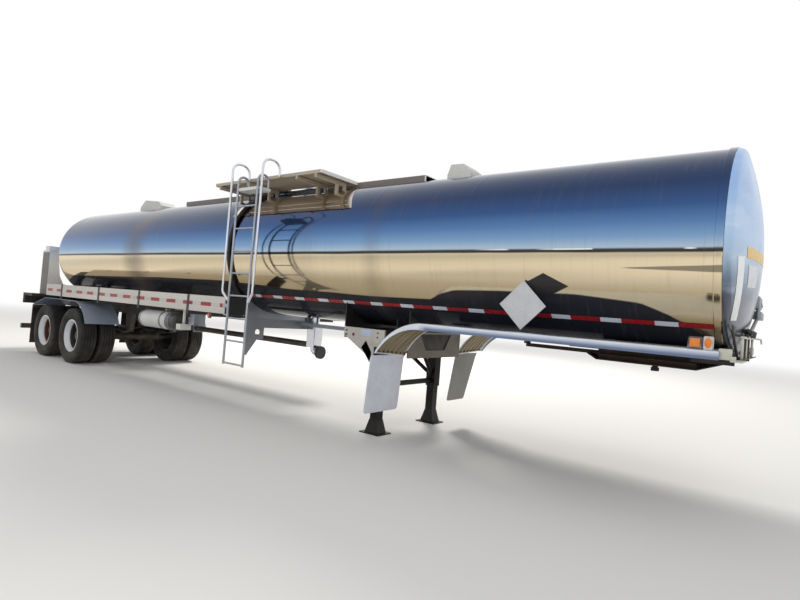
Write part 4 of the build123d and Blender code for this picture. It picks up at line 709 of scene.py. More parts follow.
def reflective(name, colour):
    """Retroreflective film: a fine cell pattern under a smooth face, with dull grime on it."""
    material, tree, shader, coords = blank_material(name)
    cells = add_node(tree, "TexVoronoi")
    cells.inputs["Scale"].default_value = TAPE_GRAIN
    tree.links.new(coords, cells.inputs["Vector"])
    tone = mix(tree, remap(tree, cells.outputs["Distance"], 0.0, 0.7, 0.0, 0.35), colour, darker(colour, 0.6))
    grime = remap(tree, noise(tree, coords, 6.0, 6.0, 0.7), 0.45, 0.8, 0.0, 0.55)
    tree.links.new(mix(tree, grime, tone, darker(colour, 0.45)), shader.inputs["Base Color"])
    tree.links.new(remap(tree, grime, 0.0, 0.5, 0.25, 0.6), shader.inputs["Roughness"])
    return material


red_tape = reflective("red_reflective_film", srgb(0.62, 0.06, 0.09))
white_tape = reflective("white_reflective_film", srgb(0.86, 0.88, 0.91))
dull_tape = reflective("dull_white_film", srgb(0.78, 0.77, 0.75))


def tape_block(bm, x0, x1, side):
    """A strip of film bent round the jacket, between two places along it."""
    radius = TANK_R + TAPE_LIFT
    half = TAPE_H / 2 / TANK_R
    a = radians(TAPE_DEG) - half
    start = Vector((0, side * sin(a), cos(a))) * radius
    ends = [bm.verts.new((x, start.y, TANK_Z + start.z)) for x in (x0, x1)]
    bmesh.ops.spin(bm, geom=ends + [bm.edges.new(ends)], cent=(0, 0, TANK_Z), axis=(1, 0, 0),
                   angle=-side * 2 * half, steps=3)


def tape_spans():
    """Where the white blocks lie along the tank, and the red ones between them."""
    count = int((WHITE_FIRST - TAPE_REAR) / WHITE_PITCH) + 1
    starts = [WHITE_FIRST - i * WHITE_PITCH for i in reversed(range(count))]
    whites = [(max(a, TAPE_REAR + WHITE_LEN / 2), a + WHITE_LEN) for a in starts]
    red_starts = [TAPE_REAR] + [b for a, b in whites]
    red_ends = [a for a, b in whites] + [TAPE_FRONT]
    return whites, list(zip(red_starts, red_ends))


whites, reds = tape_spans()
for side_name, side in SIDES.items():
    for colour_name, spans, film, slot in (("white", whites, white_tape, "white_paint"),
                                           ("red", reds, red_tape, "red_lens")):
        bm = bmesh.new()
        for a, b in spans:
            tape_block(bm, st(a), st(b), side)
        close_up(bm)
        bmesh.ops.solidify(bm, geom=bm.faces[:], thickness=TAPE_T)
        make_piece(f"tank_tape_{colour_name}_{side_name}", bm, film, slot=slot)

# %% [markdown]
# ## Tape on the trays
# The hose trays carry short red dashes with dull white between them.

# %% Tray tape
TRAY_FACE_Y, TRAY_TAPE_T, TRAY_TAPE_GAP = 1.172, 0.0012, 0.002
TRAY_TAPE_Z = (1.290, 1.342)
TRAY_DASH_REAR, TRAY_DASH_PITCH, TRAY_DASH_LEN, TRAY_DASH_COUNT = -0.085, 0.4505, 0.245, 14
TRAY_FRONT = 5.880
for side_name, side in SIDES.items():
    y = sorted((side * TRAY_FACE_Y, side * (TRAY_FACE_Y + TRAY_TAPE_T)))
    red, white = bmesh.new(), bmesh.new()
    for i in range(TRAY_DASH_COUNT):
        a = TRAY_DASH_REAR + i * TRAY_DASH_PITCH
        b = min(a + TRAY_DASH_LEN, TRAY_FRONT)
        block(red, (st(a), st(b)), y, TRAY_TAPE_Z)
        if i + 1 < TRAY_DASH_COUNT:
            block(white, (st(b) + TRAY_TAPE_GAP, st(a + TRAY_DASH_PITCH) - TRAY_TAPE_GAP), y, TRAY_TAPE_Z)
    make_piece("tray_tape_red_" + side_name, red, red_tape, slot="red_lens")
    make_piece("tray_tape_white_" + side_name, white, dull_tape, slot="white_paint")

# %% [markdown]
# ## Tyres
# A road tyre is an outline spun about the axle: a bead on the rim, a bulging sidewall with a thin
# raised line, a shoulder, and a tread with four grooves round it. Two stand side by side as one
# body, with a gap between their sidewalls.

# %% Twin tyres
TYRE_R, TYRE_W, TWIN_PITCH = 0.505, 0.285, 0.330
TWIN_Y = 1.219 - TYRE_W / 2 - TWIN_PITCH / 2
TWIN_HALVES = (-TWIN_PITCH / 2, TWIN_PITCH / 2)
RIM_SEAT_R, RIM_FLANGE_R, RIM_W = 0.284, 0.298, 0.236
GROOVES = [(-0.072, 0.009), (-0.025, 0.010), (0.025, 0.010), (0.072, 0.009)]   # across, width
GROOVE_DEPTH, GROOVE_SLOPE = 0.012, 0.002
AXLES = {"rear": REAR_AXLE_X, "front": st(1.245)}
TWINS = [(axle_name, axle_x, side, f"{axle_name}_{side_name}")
         for axle_name, axle_x in AXLES.items() for side_name, side in SIDES.items()]
TYRE_SIDE = [  # across, radius: bead, sidewall, shoulder
    (0.105, 0.2845), (0.112, 0.300), (0.128, 0.318), (0.1365, 0.345), (0.1405, 0.375), (0.1425, 0.400),
    (0.1418, 0.425), (0.1425, 0.4275), (0.1418, 0.430), (0.138, 0.455), (0.134, 0.474), (0.132, 0.486),
    (0.124, 0.498), (0.108, 0.503),
]


def tyre_profile():
    """One sidewall, the grooved tread and the other sidewall, as (across, radius)."""
    tread = []
    for at, width in reversed(GROOVES):
        high, low = at + width / 2, at - width / 2
        tread += [(high, TYRE_R), (high - GROOVE_SLOPE, TYRE_R - GROOVE_DEPTH),
                  (low + GROOVE_SLOPE, TYRE_R - GROOVE_DEPTH), (low, TYRE_R)]
    return TYRE_SIDE + tread + [(-a, r) for a, r in reversed(TYRE_SIDE)]


for axle_name, axle_x, side, tag in TWINS:
    bm = bmesh.new()
    for half in TWIN_HALVES:
        profile = tyre_profile()
        turn(bm, profile + profile[:1], (axle_x, side * (TWIN_Y + half), TYRE_R), (0, 1, 0))
    make_piece("ribbed_tyres_" + tag, bm, "tyre_rubber", body="twin_" + tag, replaces=("tyres_" + tag,),
               smooth=50)

# %% [markdown]
# ## Wheels
# Each wheel is a steel rim with a dished disc. The disc has ten hand holes near its edge and a
# ring of nuts round the hub, which has lost its paint and rusted at the rear axle. The rim and hub
# are spun outlines. The disc is spun too, then every other pair of faces of one ring is taken out.
# A Solidify modifier gives it a wall, and a Subdivision modifier rounds the openings.

# %% Twin wheels
NUT_RING_R, NUT_COUNT = 0.1425, 10
NUT_PARTS = [  # depth from the disc's middle, where it ends, radius, sides, bevel
    (0.010, 0.016, 0.021, 16, 0.0), (0.016, 0.034, 0.018, 6, 0.002), (0.034, 0.050, 0.009, 10, 0.0),
]
HAND_HOLES = 10
DISC_WALL = 0.010
# each rim is darker deeper in: painted shade of the wheel's hollow, rust red at the rear axle where the wheels
# have rusted
rim_finish = {axle_name: weathered("rim_paint_" + axle_name, (0.95, 0.96, 0.98), 0.4, 0.0, 0.85, 0.15, 0.15,
                                   dust_z=(0.2, 0.9), zones=[(inside, [RIM_SHADE_DEPTH])])
              for axle_name, inside in (("rear", (0.36, 0.16, 0.12)), ("front", (0.20, 0.19, 0.19)))}
hub_finish = {
    "rear": weathered("rusty_hub", (0.36, 0.17, 0.12), 0.7, 0.1, 0.6, 0.25, 0.5, patch_scale=8, rust=0.6),
    # the front hub is dark
    "front": weathered("greasy_hub", (0.14, 0.13, 0.13), 0.5, 0.2, 0.6, 0.3, 0.4, patch_scale=8),
}
disc_finish = {
    "rear": weathered("rusty_disc", (0.42, 0.17, 0.12), 0.65, 0.1, 0.6, 0.15, 0.4, patch_scale=6, rust=0.5),
    "front": weathered("shaded_disc", (0.20, 0.20, 0.21), 0.6, 0.1, 0.6, 0.2, 0.3, patch_scale=6),
}
nut_steel = weathered("nut_steel", (0.42, 0.34, 0.29), 0.5, 0.6, 0.6, 0.2, 0.2, patch_scale=30)


def rim(bm, axle_x, middle):
    """One rim: flanges, bead seats and a drop well between them."""
    half = RIM_W / 2
    outer = [(-half, RIM_FLANGE_R - 0.004), (-half + 0.003, RIM_FLANGE_R),
             (-half + 0.009, RIM_FLANGE_R - 0.001), (-half + 0.011, RIM_SEAT_R),
             (-half + 0.040, RIM_SEAT_R - 0.002), (-0.05, 0.262), (0.02, 0.262),
             (half - 0.040, RIM_SEAT_R - 0.002), (half - 0.011, RIM_SEAT_R),
             (half - 0.009, RIM_FLANGE_R - 0.001), (half - 0.003, RIM_FLANGE_R), (half, RIM_FLANGE_R - 0.004)]
    inner = [(half, 0.280), (half - 0.030, 0.274), (half - 0.055, 0.254), (-half + 0.055, 0.254),
             (-half + 0.030, 0.274), (-half, 0.280)]
    turn(bm, outer + inner + outer[:1], (axle_x, middle, TYRE_R), (0, 1, 0), steps=72)


DISC_LINE = [(0.000, 0.105), (0.000, 0.170), (0.004, 0.195), (0.020, 0.216), (0.048, 0.243), (0.066, 0.252),
             (0.090, 0.2555)]   # out from the twin's middle plane, radius
HOLE_RING = (0.219, 0.241)


def wheel_disc(bm, axle_x, side, out):
    """A dished disc from the hub's face to the rim, with hand holes."""
    sign = out * side
    centre = Vector((axle_x, side * TWIN_Y + sign * 0.006, TYRE_R))
    before = set(bm.faces)
    turn(bm, [(a * sign, r) for a, r in DISC_LINE], centre, (0, 1, 0), steps=HAND_HOLES * 4)
    gone = []
    for face in set(bm.faces) - before:
        middle = face.calc_center_median() - centre
        share = (atan2(middle.z, middle.x) / (2 * pi) * HAND_HOLES) % 1.0
        if HOLE_RING[0] < hypot(middle.x, middle.z) < HOLE_RING[1] and share < 0.5:
            gone.append(face)
    bmesh.ops.delete(bm, geom=gone, context="FACES")


HUB_LINE = [(0.012, 0.106), (0.030, 0.110), (0.062, 0.110), (0.070, 0.092), (0.155, 0.086), (0.160, 0.094),
            (0.172, 0.094), (0.176, 0.080), (0.187, 0.066), (0.190, 0.030), (0.190, 0.0)]
HUB_INNER_LINE = [(-0.090, 0.0405), (-0.090, 0.106), (0.0, 0.110), (0.012, 0.106)]
DRUM_LINE = [(-0.012, 0.100), (-0.012, 0.203), (-0.020, 0.210), (-0.100, 0.210), (-0.104, 0.207),
             (-0.108, 0.210), (-0.176, 0.210), (-0.180, 0.206), (-0.180, 0.182), (-0.030, 0.180),
             (-0.030, 0.100)]
for axle_name, axle_x, side, tag in TWINS:
    body = "twin_" + tag
    bm = bmesh.new()
    for half in TWIN_HALVES:
        rim(bm, axle_x, side * (TWIN_Y + half))
    make_piece("rims_" + tag, bm, rim_finish[axle_name], body=body, replaces=("wheel_" + tag,),
               slot="wheel_paint")
    bm = bmesh.new()
    for out in (-1, 1):
        wheel_disc(bm, axle_x, side, out)
    disc = make_piece("wheel_discs_" + tag, bm, disc_finish[axle_name], body=body, slot="dark_steel",
                      smooth=60)
    wall = disc.modifiers.new("disc_wall", "SOLIDIFY")
    wall.thickness, wall.offset = DISC_WALL, 0.0
    soft = disc.modifiers.new("rounded_holes", "SUBSURF")
    soft.levels = soft.render_levels = 1
    bm = bmesh.new()
    middle = (axle_x, side * TWIN_Y, TYRE_R)
    for line, steps in ((HUB_INNER_LINE + HUB_LINE[1:], 48), (DRUM_LINE + DRUM_LINE[:1], 64)):
        turn(bm, [(a * side, r) for a, r in line], middle, (0, 1, 0), steps=steps)
    make_piece("hub_and_drum_" + tag, bm, hub_finish[axle_name], body=body, slot="dark_steel")
    bm = bmesh.new()
    for i in range(NUT_COUNT):
        a = 2 * pi * i / NUT_COUNT
        x, z = axle_x + NUT_RING_R * cos(a), TYRE_R + NUT_RING_R * sin(a)
        for inner, outer, radius, sides, bevel in NUT_PARTS:
            ends = [(x, side * (TWIN_Y + depth), z) for depth in (inner, outer)]
            drum(bm, *ends, radius, segments=sides, bevel=bevel)
    make_piece("wheel_nuts_" + tag, bm, nut_steel, body=body, slot="dark_steel")

# %% [markdown]
# ## Lamps at the nose
# An amber lamp in a grey housing and one in a white housing stand side by side at each front
# corner, on the fender. The housings are blocks with a well sunk into their outer face by an
# inset. One lens is a rounded block, the other an oval dome, both of ribbed amber plastic.

# %% Nose lamps
LENS_RIBS = 210.0


def lens(name, colour):
    """Ribbed lamp plastic with a clear coat."""
    material, tree, shader, coords = blank_material(name)
    ribs = add_node(tree, "TexWave", wave_type="BANDS", bands_direction="X")
    ribs.inputs["Scale"].default_value = LENS_RIBS
    tree.links.new(coords, ribs.inputs["Vector"])
    patches = noise(tree, coords, 40.0, 3.0)
    tone = mix(tree, remap(tree, patches, 0.3, 0.7, 0.0, 0.4), colour, darker(colour, 0.55))
    tree.links.new(tone, shader.inputs["Base Color"])
    tree.links.new(remap(tree, patches, 0.3, 0.7, 0.08, 0.2), shader.inputs["Roughness"])
    shader.inputs["Coat Weight"].default_value = 0.6
    raised(tree, shader, ribs.outputs["Fac"], 0.4, 0.001)
    return material


amber_lens = lens("amber_lens", srgb(0.93, 0.50, 0.03))
LAMP_FACE_Y = 1.127
LAMP_FLOOR_Z = 1.318
GREY_LAMP = ((st(11.328), st(11.426)), (1.064, 1.119), (LAMP_FLOOR_Z, 1.404))
WHITE_LAMP = ((st(11.430), st(11.489)), (1.066, 1.119), (LAMP_FLOOR_Z, 1.412))
GREY_TAPER = 0.80      # how much narrower the grey housing's top is
GREY_WALL, WHITE_WALL, WELL_DEPTH = 0.012, 0.007, 0.008
OVAL_LENS = (0.0215, 0.036)
OVAL_LINE = [(0, OVAL_LENS[0]), (0.010, OVAL_LENS[0]), (0.014, 0.018), (0.017, 0.009), (0.0175, 0.0)]


def lamp_housing(bm, box, wall, taper=1.0):
    """A rounded housing with a sunk well in its outer face, narrower at its top."""
    x, y, z = box
    verts = block(bm, x, y, z)
    middle_x = (x[0] + x[1]) / 2
    for v in verts:
        if v.co.z > (z[0] + z[1]) / 2:
            v.co.x = middle_x + (v.co.x - middle_x) * taper
    face = max({f for v in verts for f in v.link_faces}, key=lambda f: f.calc_center_median().y)
    corners = [e for v in verts for e in v.link_edges if e not in face.edges]
    bmesh.ops.inset_region(bm, faces=[face], thickness=wall, depth=0)
    bmesh.ops.translate(bm, vec=(0, -WELL_DEPTH, 0), verts=face.verts)
    ease(bm, {e for e in corners if abs(e.verts[0].co.y - e.verts[1].co.y) > 0.01}, 0.012, segments=4)
    close_up(bm)


bm = bmesh.new()
lamp_housing(bm, GREY_LAMP, GREY_WALL, GREY_TAPER)
make_piece("grey_lamp_housings", bm, "grey_aluminium", mirrored=True)
bm = bmesh.new()
lamp_housing(bm, WHITE_LAMP, WHITE_WALL)
make_piece("white_lamp_housings", bm, "white_paint", replaces=("front_lamps",), mirrored=True)
bm = bmesh.new()
x, y, z = GREY_LAMP
block(bm, (x[0] + 0.016, x[1] - 0.016), (y[1] - 0.010, LAMP_FACE_Y),
      (z[0] + GREY_WALL, z[1] - GREY_WALL), bevel=0.006)
x, y, z = WHITE_LAMP
middle = Vector(((x[0] + x[1]) / 2, y[1] - 0.010, (z[0] + z[1]) / 2))
dome = turn(bm, OVAL_LINE, middle, (0, 1, 0), steps=32)
bmesh.ops.scale(bm, vec=(1, 1, OVAL_LENS[1] / OVAL_LENS[0]), verts=dome, space=Matrix.Translation(-middle))
make_piece("amber_lenses", bm, amber_lens, slot="red_lens", mirrored=True)

# %% [markdown]
# ## Fenders over the tractor's wheels
# Each fender is one cross section that runs along the nose and then round a wide arc down to its
# tail: a flat sheet, a rounded outer edge and a lip. The section is drawn once at the nose,
# extruded to the bend and spun from there. The lip grows shallower along the arc, and the tail is
# cut on a slant. The lower part of the lip is painted in shade. Under it lies a ribbed lining whose
# tan colour is a painted reflection of the yard.

# %% Fenders
FENDER_Z, FENDER_T = 1.318, 0.005
FENDER_Y = (0.560, 1.150)
FENDER_NOSE, FENDER_BEND, FENDER_TAIL = st(11.530), st(9.044), st(8.440)
FENDER_TAIL_Z, FENDER_TAIL_OUT_Z = 0.924, 0.971
LIP_H, EDGE_R = 0.066, 0.030
LIP_TAIL_H = EDGE_R + 0.001
SHELF_Y = 0.450
ARC_STEPS, EDGE_STEPS = 28, 6
fender_fall, fender_run = FENDER_Z - FENDER_TAIL_Z, FENDER_BEND - FENDER_TAIL
ARC_R = (fender_run ** 2 + fender_fall ** 2) / (2 * fender_fall)
ARC_FULL = asin(fender_run / ARC_R)
ARC_MIDDLE = Vector((FENDER_BEND, 0, FENDER_Z - ARC_R))


def run_section(bm, section, nose=FENDER_NOSE, spare=0.0):
    """Runs a right-side section of (y, depth) pairs from the nose round the arc, past the tail by spare."""
    verts = [bm.verts.new((nose, -y, FENDER_Z - d)) for y, d in section]
    moved, ends = extruded_line(bm, verts, (FENDER_BEND - nose, 0, 0))
    bmesh.ops.spin(bm, geom=moved + ends, cent=ARC_MIDDLE, axis=(0, 1, 0), angle=-(ARC_FULL + spare),
                   steps=ARC_STEPS)
    bmesh.ops.remove_doubles(bm, verts=bm.verts[:], dist=WELD)


def arc_share(x):
    """0 at the bend and 1 at the tail."""
    return max(0.0, min(1.0, (FENDER_BEND - x) / fender_run))


bm = bmesh.new()
edge = [(FENDER_Y[1] - EDGE_R + EDGE_R * sin(a), EDGE_R - EDGE_R * cos(a))
        for a in (pi / 2 * i / EDGE_STEPS for i in range(EDGE_STEPS + 1))]
run_section(bm, [(FENDER_Y[0], 0.0), (0.75, 0.0), (0.95, 0.0)] + edge + [(FENDER_Y[1], LIP_H)], spare=0.02)
for v in bm.verts:
    share = arc_share(v.co.x)
    to_middle = ARC_MIDDLE - Vector((v.co.x, 0, v.co.z))
    if share > 0 and ARC_R - to_middle.length > EDGE_R + 0.002:
        v.co -= to_middle.normalized() * (LIP_H - LIP_TAIL_H) * share
tail_at = Vector((FENDER_TAIL, -FENDER_Y[0], FENDER_TAIL_Z))
tail_cut = Vector((0, FENDER_TAIL_OUT_Z - FENDER_TAIL_Z, FENDER_Y[1] - FENDER_Y[0])).normalized()
low_part = {v for v in bm.verts if v.co.x < FENDER_BEND - 0.3}
geom = [v for v in bm.verts if v in low_part]
for group in (bm.edges, bm.faces):
    geom += [g for g in group if low_part.issuperset(g.verts)]
bmesh.ops.bisect_plane(bm, geom=geom, dist=1e-6, plane_co=tail_at, plane_no=tail_cut, clear_inner=True)
close_up(bm)
if max(bm.faces, key=lambda f: f.calc_center_median().z).normal.z < 0:
    bmesh.ops.reverse_faces(bm, faces=bm.faces[:])
bmesh.ops.solidify(bm, geom=bm.faces[:], thickness=FENDER_T)
block(bm, (FENDER_BEND, FENDER_NOSE), (-FENDER_Y[0] - 0.002, -SHELF_Y), (FENDER_Z - FENDER_T, FENDER_Z))
make_piece("rolled_fenders", bm, "fender_sheet", replaces=("front_fenders",), slot="bright_aluminium",
           smooth=35, mirrored=True)

# %% The ribbed lining under each fender
LINING_Y, LINING_T, LINING_CUT_RISE = (0.585, 1.112), 0.0015, 0.012
RIB_COUNT, RIB_DEPTH, LINING_GAP = 6, 0.010, 0.0065
RIB_SHAPE = [(0.0, 0), (0.30, 0), (0.40, 1), (0.60, 1), (0.70, 0)]      # share of a rib's width, depth
# painted reflection: the lining's tan is the yard mirrored in it
lining_finish = weathered("painted_yard_reflection_lining", (0.60, 0.54, 0.43), 0.5, 0.3, 0.62, 0.1, 0.15,
                          patch_scale=2.5, stretch=(0.3, 3, 1))
bm = bmesh.new()
rib_pitch = (LINING_Y[1] - LINING_Y[0]) / RIB_COUNT
section = [(LINING_Y[0] + i * rib_pitch + rib_pitch * part, LINING_GAP + RIB_DEPTH * depth)
           for i in range(RIB_COUNT) for part, depth in RIB_SHAPE]
section.append((LINING_Y[1], LINING_GAP))
run_section(bm, section, nose=FENDER_NOSE - 0.01)
lining_cut_at = tail_at + Vector((0, 0, LINING_CUT_RISE))
bmesh.ops.bisect_plane(bm, geom=bm.verts[:] + bm.edges[:] + bm.faces[:], dist=1e-6, plane_co=lining_cut_at,
                       plane_no=tail_cut, clear_inner=True)
bmesh.ops.solidify(bm, geom=bm.faces[:], thickness=LINING_T)
make_piece("ribbed_fender_linings", bm, lining_finish, slot="bright_aluminium", smooth=35, mirrored=True)

# %% Bolts along the fenders' tails
BOLT_RISE, BOLT_COUNT, BOLT_R = 0.055, 7, 0.011
BOLT_DEPTHS = (0.006, 0.026)      # below the fender's face, where a bolt starts and ends
bm = bmesh.new()
for i in range(BOLT_COUNT):
    share = (i + 0.5) / BOLT_COUNT
    y = LINING_Y[0] + (LINING_Y[1] - LINING_Y[0]) * share
    z = FENDER_TAIL_Z + (FENDER_TAIL_OUT_Z - FENDER_TAIL_Z) * share + BOLT_RISE
    a = asin(min(1.0, (fender_run * (1 - (z - FENDER_TAIL_Z) / fender_fall * 0.25)) / ARC_R))
    ends = [ARC_MIDDLE + Vector((-sin(a), 0, cos(a))) * (ARC_R - depth) for depth in BOLT_DEPTHS]
    drum(bm, *[(end.x, -y, end.z) for end in ends], BOLT_R, segments=6, bevel=0.002)
make_piece("fender_tail_bolts", bm, "dark_steel", mirrored=True)

# %% [markdown]
# ## Mud flaps behind the tractor's wheels
# A pale flap hangs from each fender's tail, nearly upright, with its lower corners rounded. The
# left one hangs askew, its foot swung towards the middle.

# %% Front flaps
FLAP_Y = (0.575, 1.145)
FLAP_LINE = [(8.4505, 0.940), (8.441, 0.900), (8.402, 0.327)]   # stations and heights down the rear face
FLAP_T, FLAP_CORNER_R = 0.009, 0.035
FLAP_FALL = 0.62
SKEW_TOP, SKEW_FOOT = (0.02, 0.03), (0.07, 0.13)      # shift inwards, and what the outer edge adds to it
bm = bmesh.new()
verts = [bm.verts.new((st(station), -FLAP_Y[0], z)) for station, z in FLAP_LINE]
extruded_line(bm, verts, (0, FLAP_Y[0] - FLAP_Y[1], 0))
low = [v for v in bm.verts if v.co.z < 0.4]
bmesh.ops.bevel(bm, geom=low, offset=FLAP_CORNER_R, affect="VERTICES", segments=5, profile=0.5, material=-1)
bmesh.ops.solidify(bm, geom=bm.faces[:], thickness=FLAP_T)
both_sides(bm)
for v in bm.verts:
    if v.co.y > 0:
        outward = (v.co.y - FLAP_Y[0]) / (FLAP_Y[1] - FLAP_Y[0])
        down = (FLAP_LINE[0][1] - v.co.z) / FLAP_FALL
        v.co.y -= SKEW_TOP[0] + SKEW_TOP[1] * outward + (SKEW_FOOT[0] + SKEW_FOOT[1] * outward) * down
make_piece("rounded_front_flaps", bm, "white_rubber", replaces=("front_flaps",), smooth=35)

# %% [markdown]
# ## Sill ends and the air bracket
# A cream block closes each fender's nose. In the middle, in front of the tank's head, an open
# bracket carries the two air couplings and the power socket.

# %% Sill ends
SILL_END = ((st(11.524), st(11.598)), (-1.120, -1.010), (1.258, 1.334))
SILL_RAIL = ((st(11.532), st(11.572)), (-1.012, 0.001), (1.262, 1.276))
SILL_STEP_X = SILL_END[0][1] - 0.004
BRACKET_PLATE = ((SILL_STEP_X, st(11.668)), (-1.118, -0.780), (1.246, 1.256))
BRACKET_LUG = ((SILL_STEP_X, SILL_END[0][1] + 0.030), (-1.118, -1.080), (1.254, 1.285))
bm = bmesh.new()
block(bm, *SILL_END, bevel=0.006)
block(bm, *SILL_RAIL, bevel=0.002)
both_sides(bm)
block(bm, *BRACKET_PLATE, bevel=0.003)
block(bm, *BRACKET_LUG, bevel=0.004)
make_piece("sill_ends", bm, "cream_aluminium", replaces=("nose_sill",), slot="grey_aluminium")

# %% Cheeks beside the coupler's nose, and the stringers behind the coupler
LINING_FLOOR_Z = FENDER_Z - FENDER_T - 0.012
STRINGER_BLOCKS = [  # X, Y, Z: an upright at the rear, and the stringer
    ((st(9.880), st(9.920)), (-0.625, -0.555), (1.212, LINING_FLOOR_Z)),
    ((st(9.900), st(10.560)), (-0.620, -0.560), (1.184, 1.216)),
]
COUPLER_CHEEK = ((st(11.300), st(11.590)), (-0.722, -0.702), (1.205, LINING_FLOOR_Z))
bm = bmesh.new()
for limits in STRINGER_BLOCKS:
    block(bm, *limits, bevel=0.003)
make_piece("coupler_stringers", bm, "coupler_steel", mirrored=True)
bm = bmesh.new()
block(bm, *COUPLER_CHEEK, bevel=0.002)
make_piece("coupler_cheeks", bm, "dark_steel", mirrored=True)

# %% Air bracket
BAR_X, BAR_TOP_Z = st(11.628), 1.432
BAR_Y, POST_Y = (-0.620, 0.420), (-0.600, -0.260, 0.400)
POST_HALF = 0.012
ROD_R = 0.008
ROD_BENDS = [(BAR_X + 0.006, 0.415, BAR_TOP_Z - 0.006), (st(11.675), 0.640, BAR_TOP_Z - 0.012),
             (st(11.675), 0.760, BAR_TOP_Z - 0.050)]
bm = bmesh.new()
block(bm, (BAR_X - 0.020, BAR_X + 0.012), BAR_Y, (BAR_TOP_Z - 0.018, BAR_TOP_Z), bevel=0.003)
for y in POST_Y:
    block(bm, (BAR_X - 0.016, BAR_X + 0.004), (y - POST_HALF, y + POST_HALF), (1.250, BAR_TOP_Z - 0.016),
          bevel=0.003)
for start, end in zip(ROD_BENDS, ROD_BENDS[1:]):
    drum(bm, start, end, ROD_R, segments=12)
make_piece("air_bracket", bm, "cream_aluminium", replaces=("nose_panel",), slot="grey_aluminium")

# %% Air couplings and the power socket
COUPLING_LINE = [(0, 0.0), (0, 0.026), (0.010, 0.030), (0.030, 0.030), (0.034, 0.024), (0.036, 0.0)]
COUPLING_X, COUPLING_Z = st(11.640), 1.452
COUPLINGS = [(-0.420, 0.5, -0.430), (-0.080, -0.4, -0.085)]      # y, tilt, y of its pipe's foot
PIPE_X, PIPE_FOOT_Z = BAR_X - 0.006, 1.262


def coupling(bm, y, tilt):
    """A gladhand: a turned body on a short neck, with a flat claw."""
    way = Vector((0.35, sin(tilt), cos(tilt))).normalized()
    foot = Vector((COUPLING_X, y, COUPLING_Z))
    turn(bm, COUPLING_LINE, foot, way, steps=28)
    drum(bm, foot - way * 0.001, foot - way * 0.030, 0.018, 0.014, segments=20, bevel=0.002)
    side = way.cross(Vector((1, 0, 0))).normalized()
    claw = [foot + way * 0.012 + side * reach for reach in (-0.050, 0.018)]
    drum(bm, *claw, 0.012, 0.018, segments=16, bevel=0.002)


bm = bmesh.new()
for y, tilt, foot_y in COUPLINGS:
    coupling(bm, y, tilt)
    drum(bm, (PIPE_X, y, BAR_TOP_Z - 0.010), (PIPE_X, foot_y, PIPE_FOOT_Z), 0.014, segments=16)
drum(bm, (st(11.630), 0.160, BAR_TOP_Z - 0.002), (st(11.640), 0.160, BAR_TOP_Z + 0.052), 0.030, segments=28,
     bevel=0.004)
drum(bm, (st(11.600), -0.640, 1.258), (st(11.560), -0.690, 1.470), 0.010, segments=16, bevel=0.002)
make_piece("air_couplings", bm, "black_plastic")

# %% The valve cluster on the head
VALVE_BLOCKS = [  # X, Y, Z, bevel
    ((st(11.600), st(11.672)), (0.200, 0.560), (1.690, 1.800), 0.012),
    ((st(11.610), st(11.682)), (0.300, 0.700), (1.600, 1.672), 0.010),
]
VALVE_RODS = [  # start, end, radius
    ((st(11.660), 0.260, 1.700), (st(11.660), 0.260, 1.590), 0.016),
    ((st(11.655), 0.330, 1.610), (st(11.640), -0.300, 1.440), 0.014),
]
VALVE_WHEEL_AT = (st(11.655), 0.480, 1.745)
VALVE_WHEEL_LINE = [(0, 0), (0, 0.034), (0.012, 0.038), (0.022, 0.034), (0.022, 0)]
bm = bmesh.new()
for x, y, z, bevel in VALVE_BLOCKS:
    block(bm, x, y, z, bevel=bevel)
for start, end, radius in VALVE_RODS:
    drum(bm, start, end, radius, segments=16, bevel=0.002)
turn(bm, VALVE_WHEEL_LINE, VALVE_WHEEL_AT, (1, 0, 0.2), steps=28)
make_piece("head_valve_cluster", bm, "grey_aluminium")

# %% [markdown]
# ## Blank labels on the front head
# A plain upright white strip, a yellow blank label and a white blank one follow the dish. Each
# starts as a flat grid in front of the head, and every point is then moved back to the dish's own
# curve.

# %% Blank labels
CROWN_R = crown_radius(FRONT_RISE, FRONT_KNUCKLE_R)
LABEL_LIFT, LABEL_T, LABEL_CELLS = 0.0015, 0.0008, 10


def film(name, colour, fade):
    """Printed film: a faint paper grain, sun fade and a few scuffs."""
    material, tree, shader, coords = blank_material(name)
    worn = remap(tree, noise(tree, coords, 7.0, 6.0, 0.7), 0.45, 0.8, 0.0, fade)
    tone = mix(tree, worn, colour, srgb(0.62, 0.64, 0.66))
    grain = noise(tree, coords, 240.0, 2.0)
    tone = mix(tree, remap(tree, grain, 0.3, 0.7, 0.0, 0.10), tone, darker(colour, 0.5))
    tree.links.new(tone, shader.inputs["Base Color"])
    tree.links.new(remap(tree, worn, 0.0, fade, 0.3, 0.6), shader.inputs["Roughness"])
    raised(tree, shader, grain, 0.08, 0.0005)
    return material


def on_head(y, z, lift):
    """X of a point on the dish, raised by lift."""
    reach = hypot(y, z - TANK_Z)
    return TANK_FRONT_X + FRONT_RISE - CROWN_R + (CROWN_R ** 2 - reach ** 2) ** 0.5 + lift


def label(bm, corners):
    """A film with corners (y, z) in order round it, laid on the dish."""
    made = bmesh.ops.create_grid(bm, x_segments=LABEL_CELLS, y_segments=LABEL_CELLS, size=0.5)["verts"]
    a, b, c, d = [Vector(corner) for corner in corners]
    for v in made:
        u, w = v.co.x + 0.5, v.co.y + 0.5
        place = (a * (1 - u) + b * u) * (1 - w) + (d * (1 - u) + c * u) * w
        v.co = Vector((on_head(place.x, place.y, LABEL_LIFT), place.x, place.y))
    bmesh.ops.solidify(bm, geom=bm.faces[:], thickness=LABEL_T)


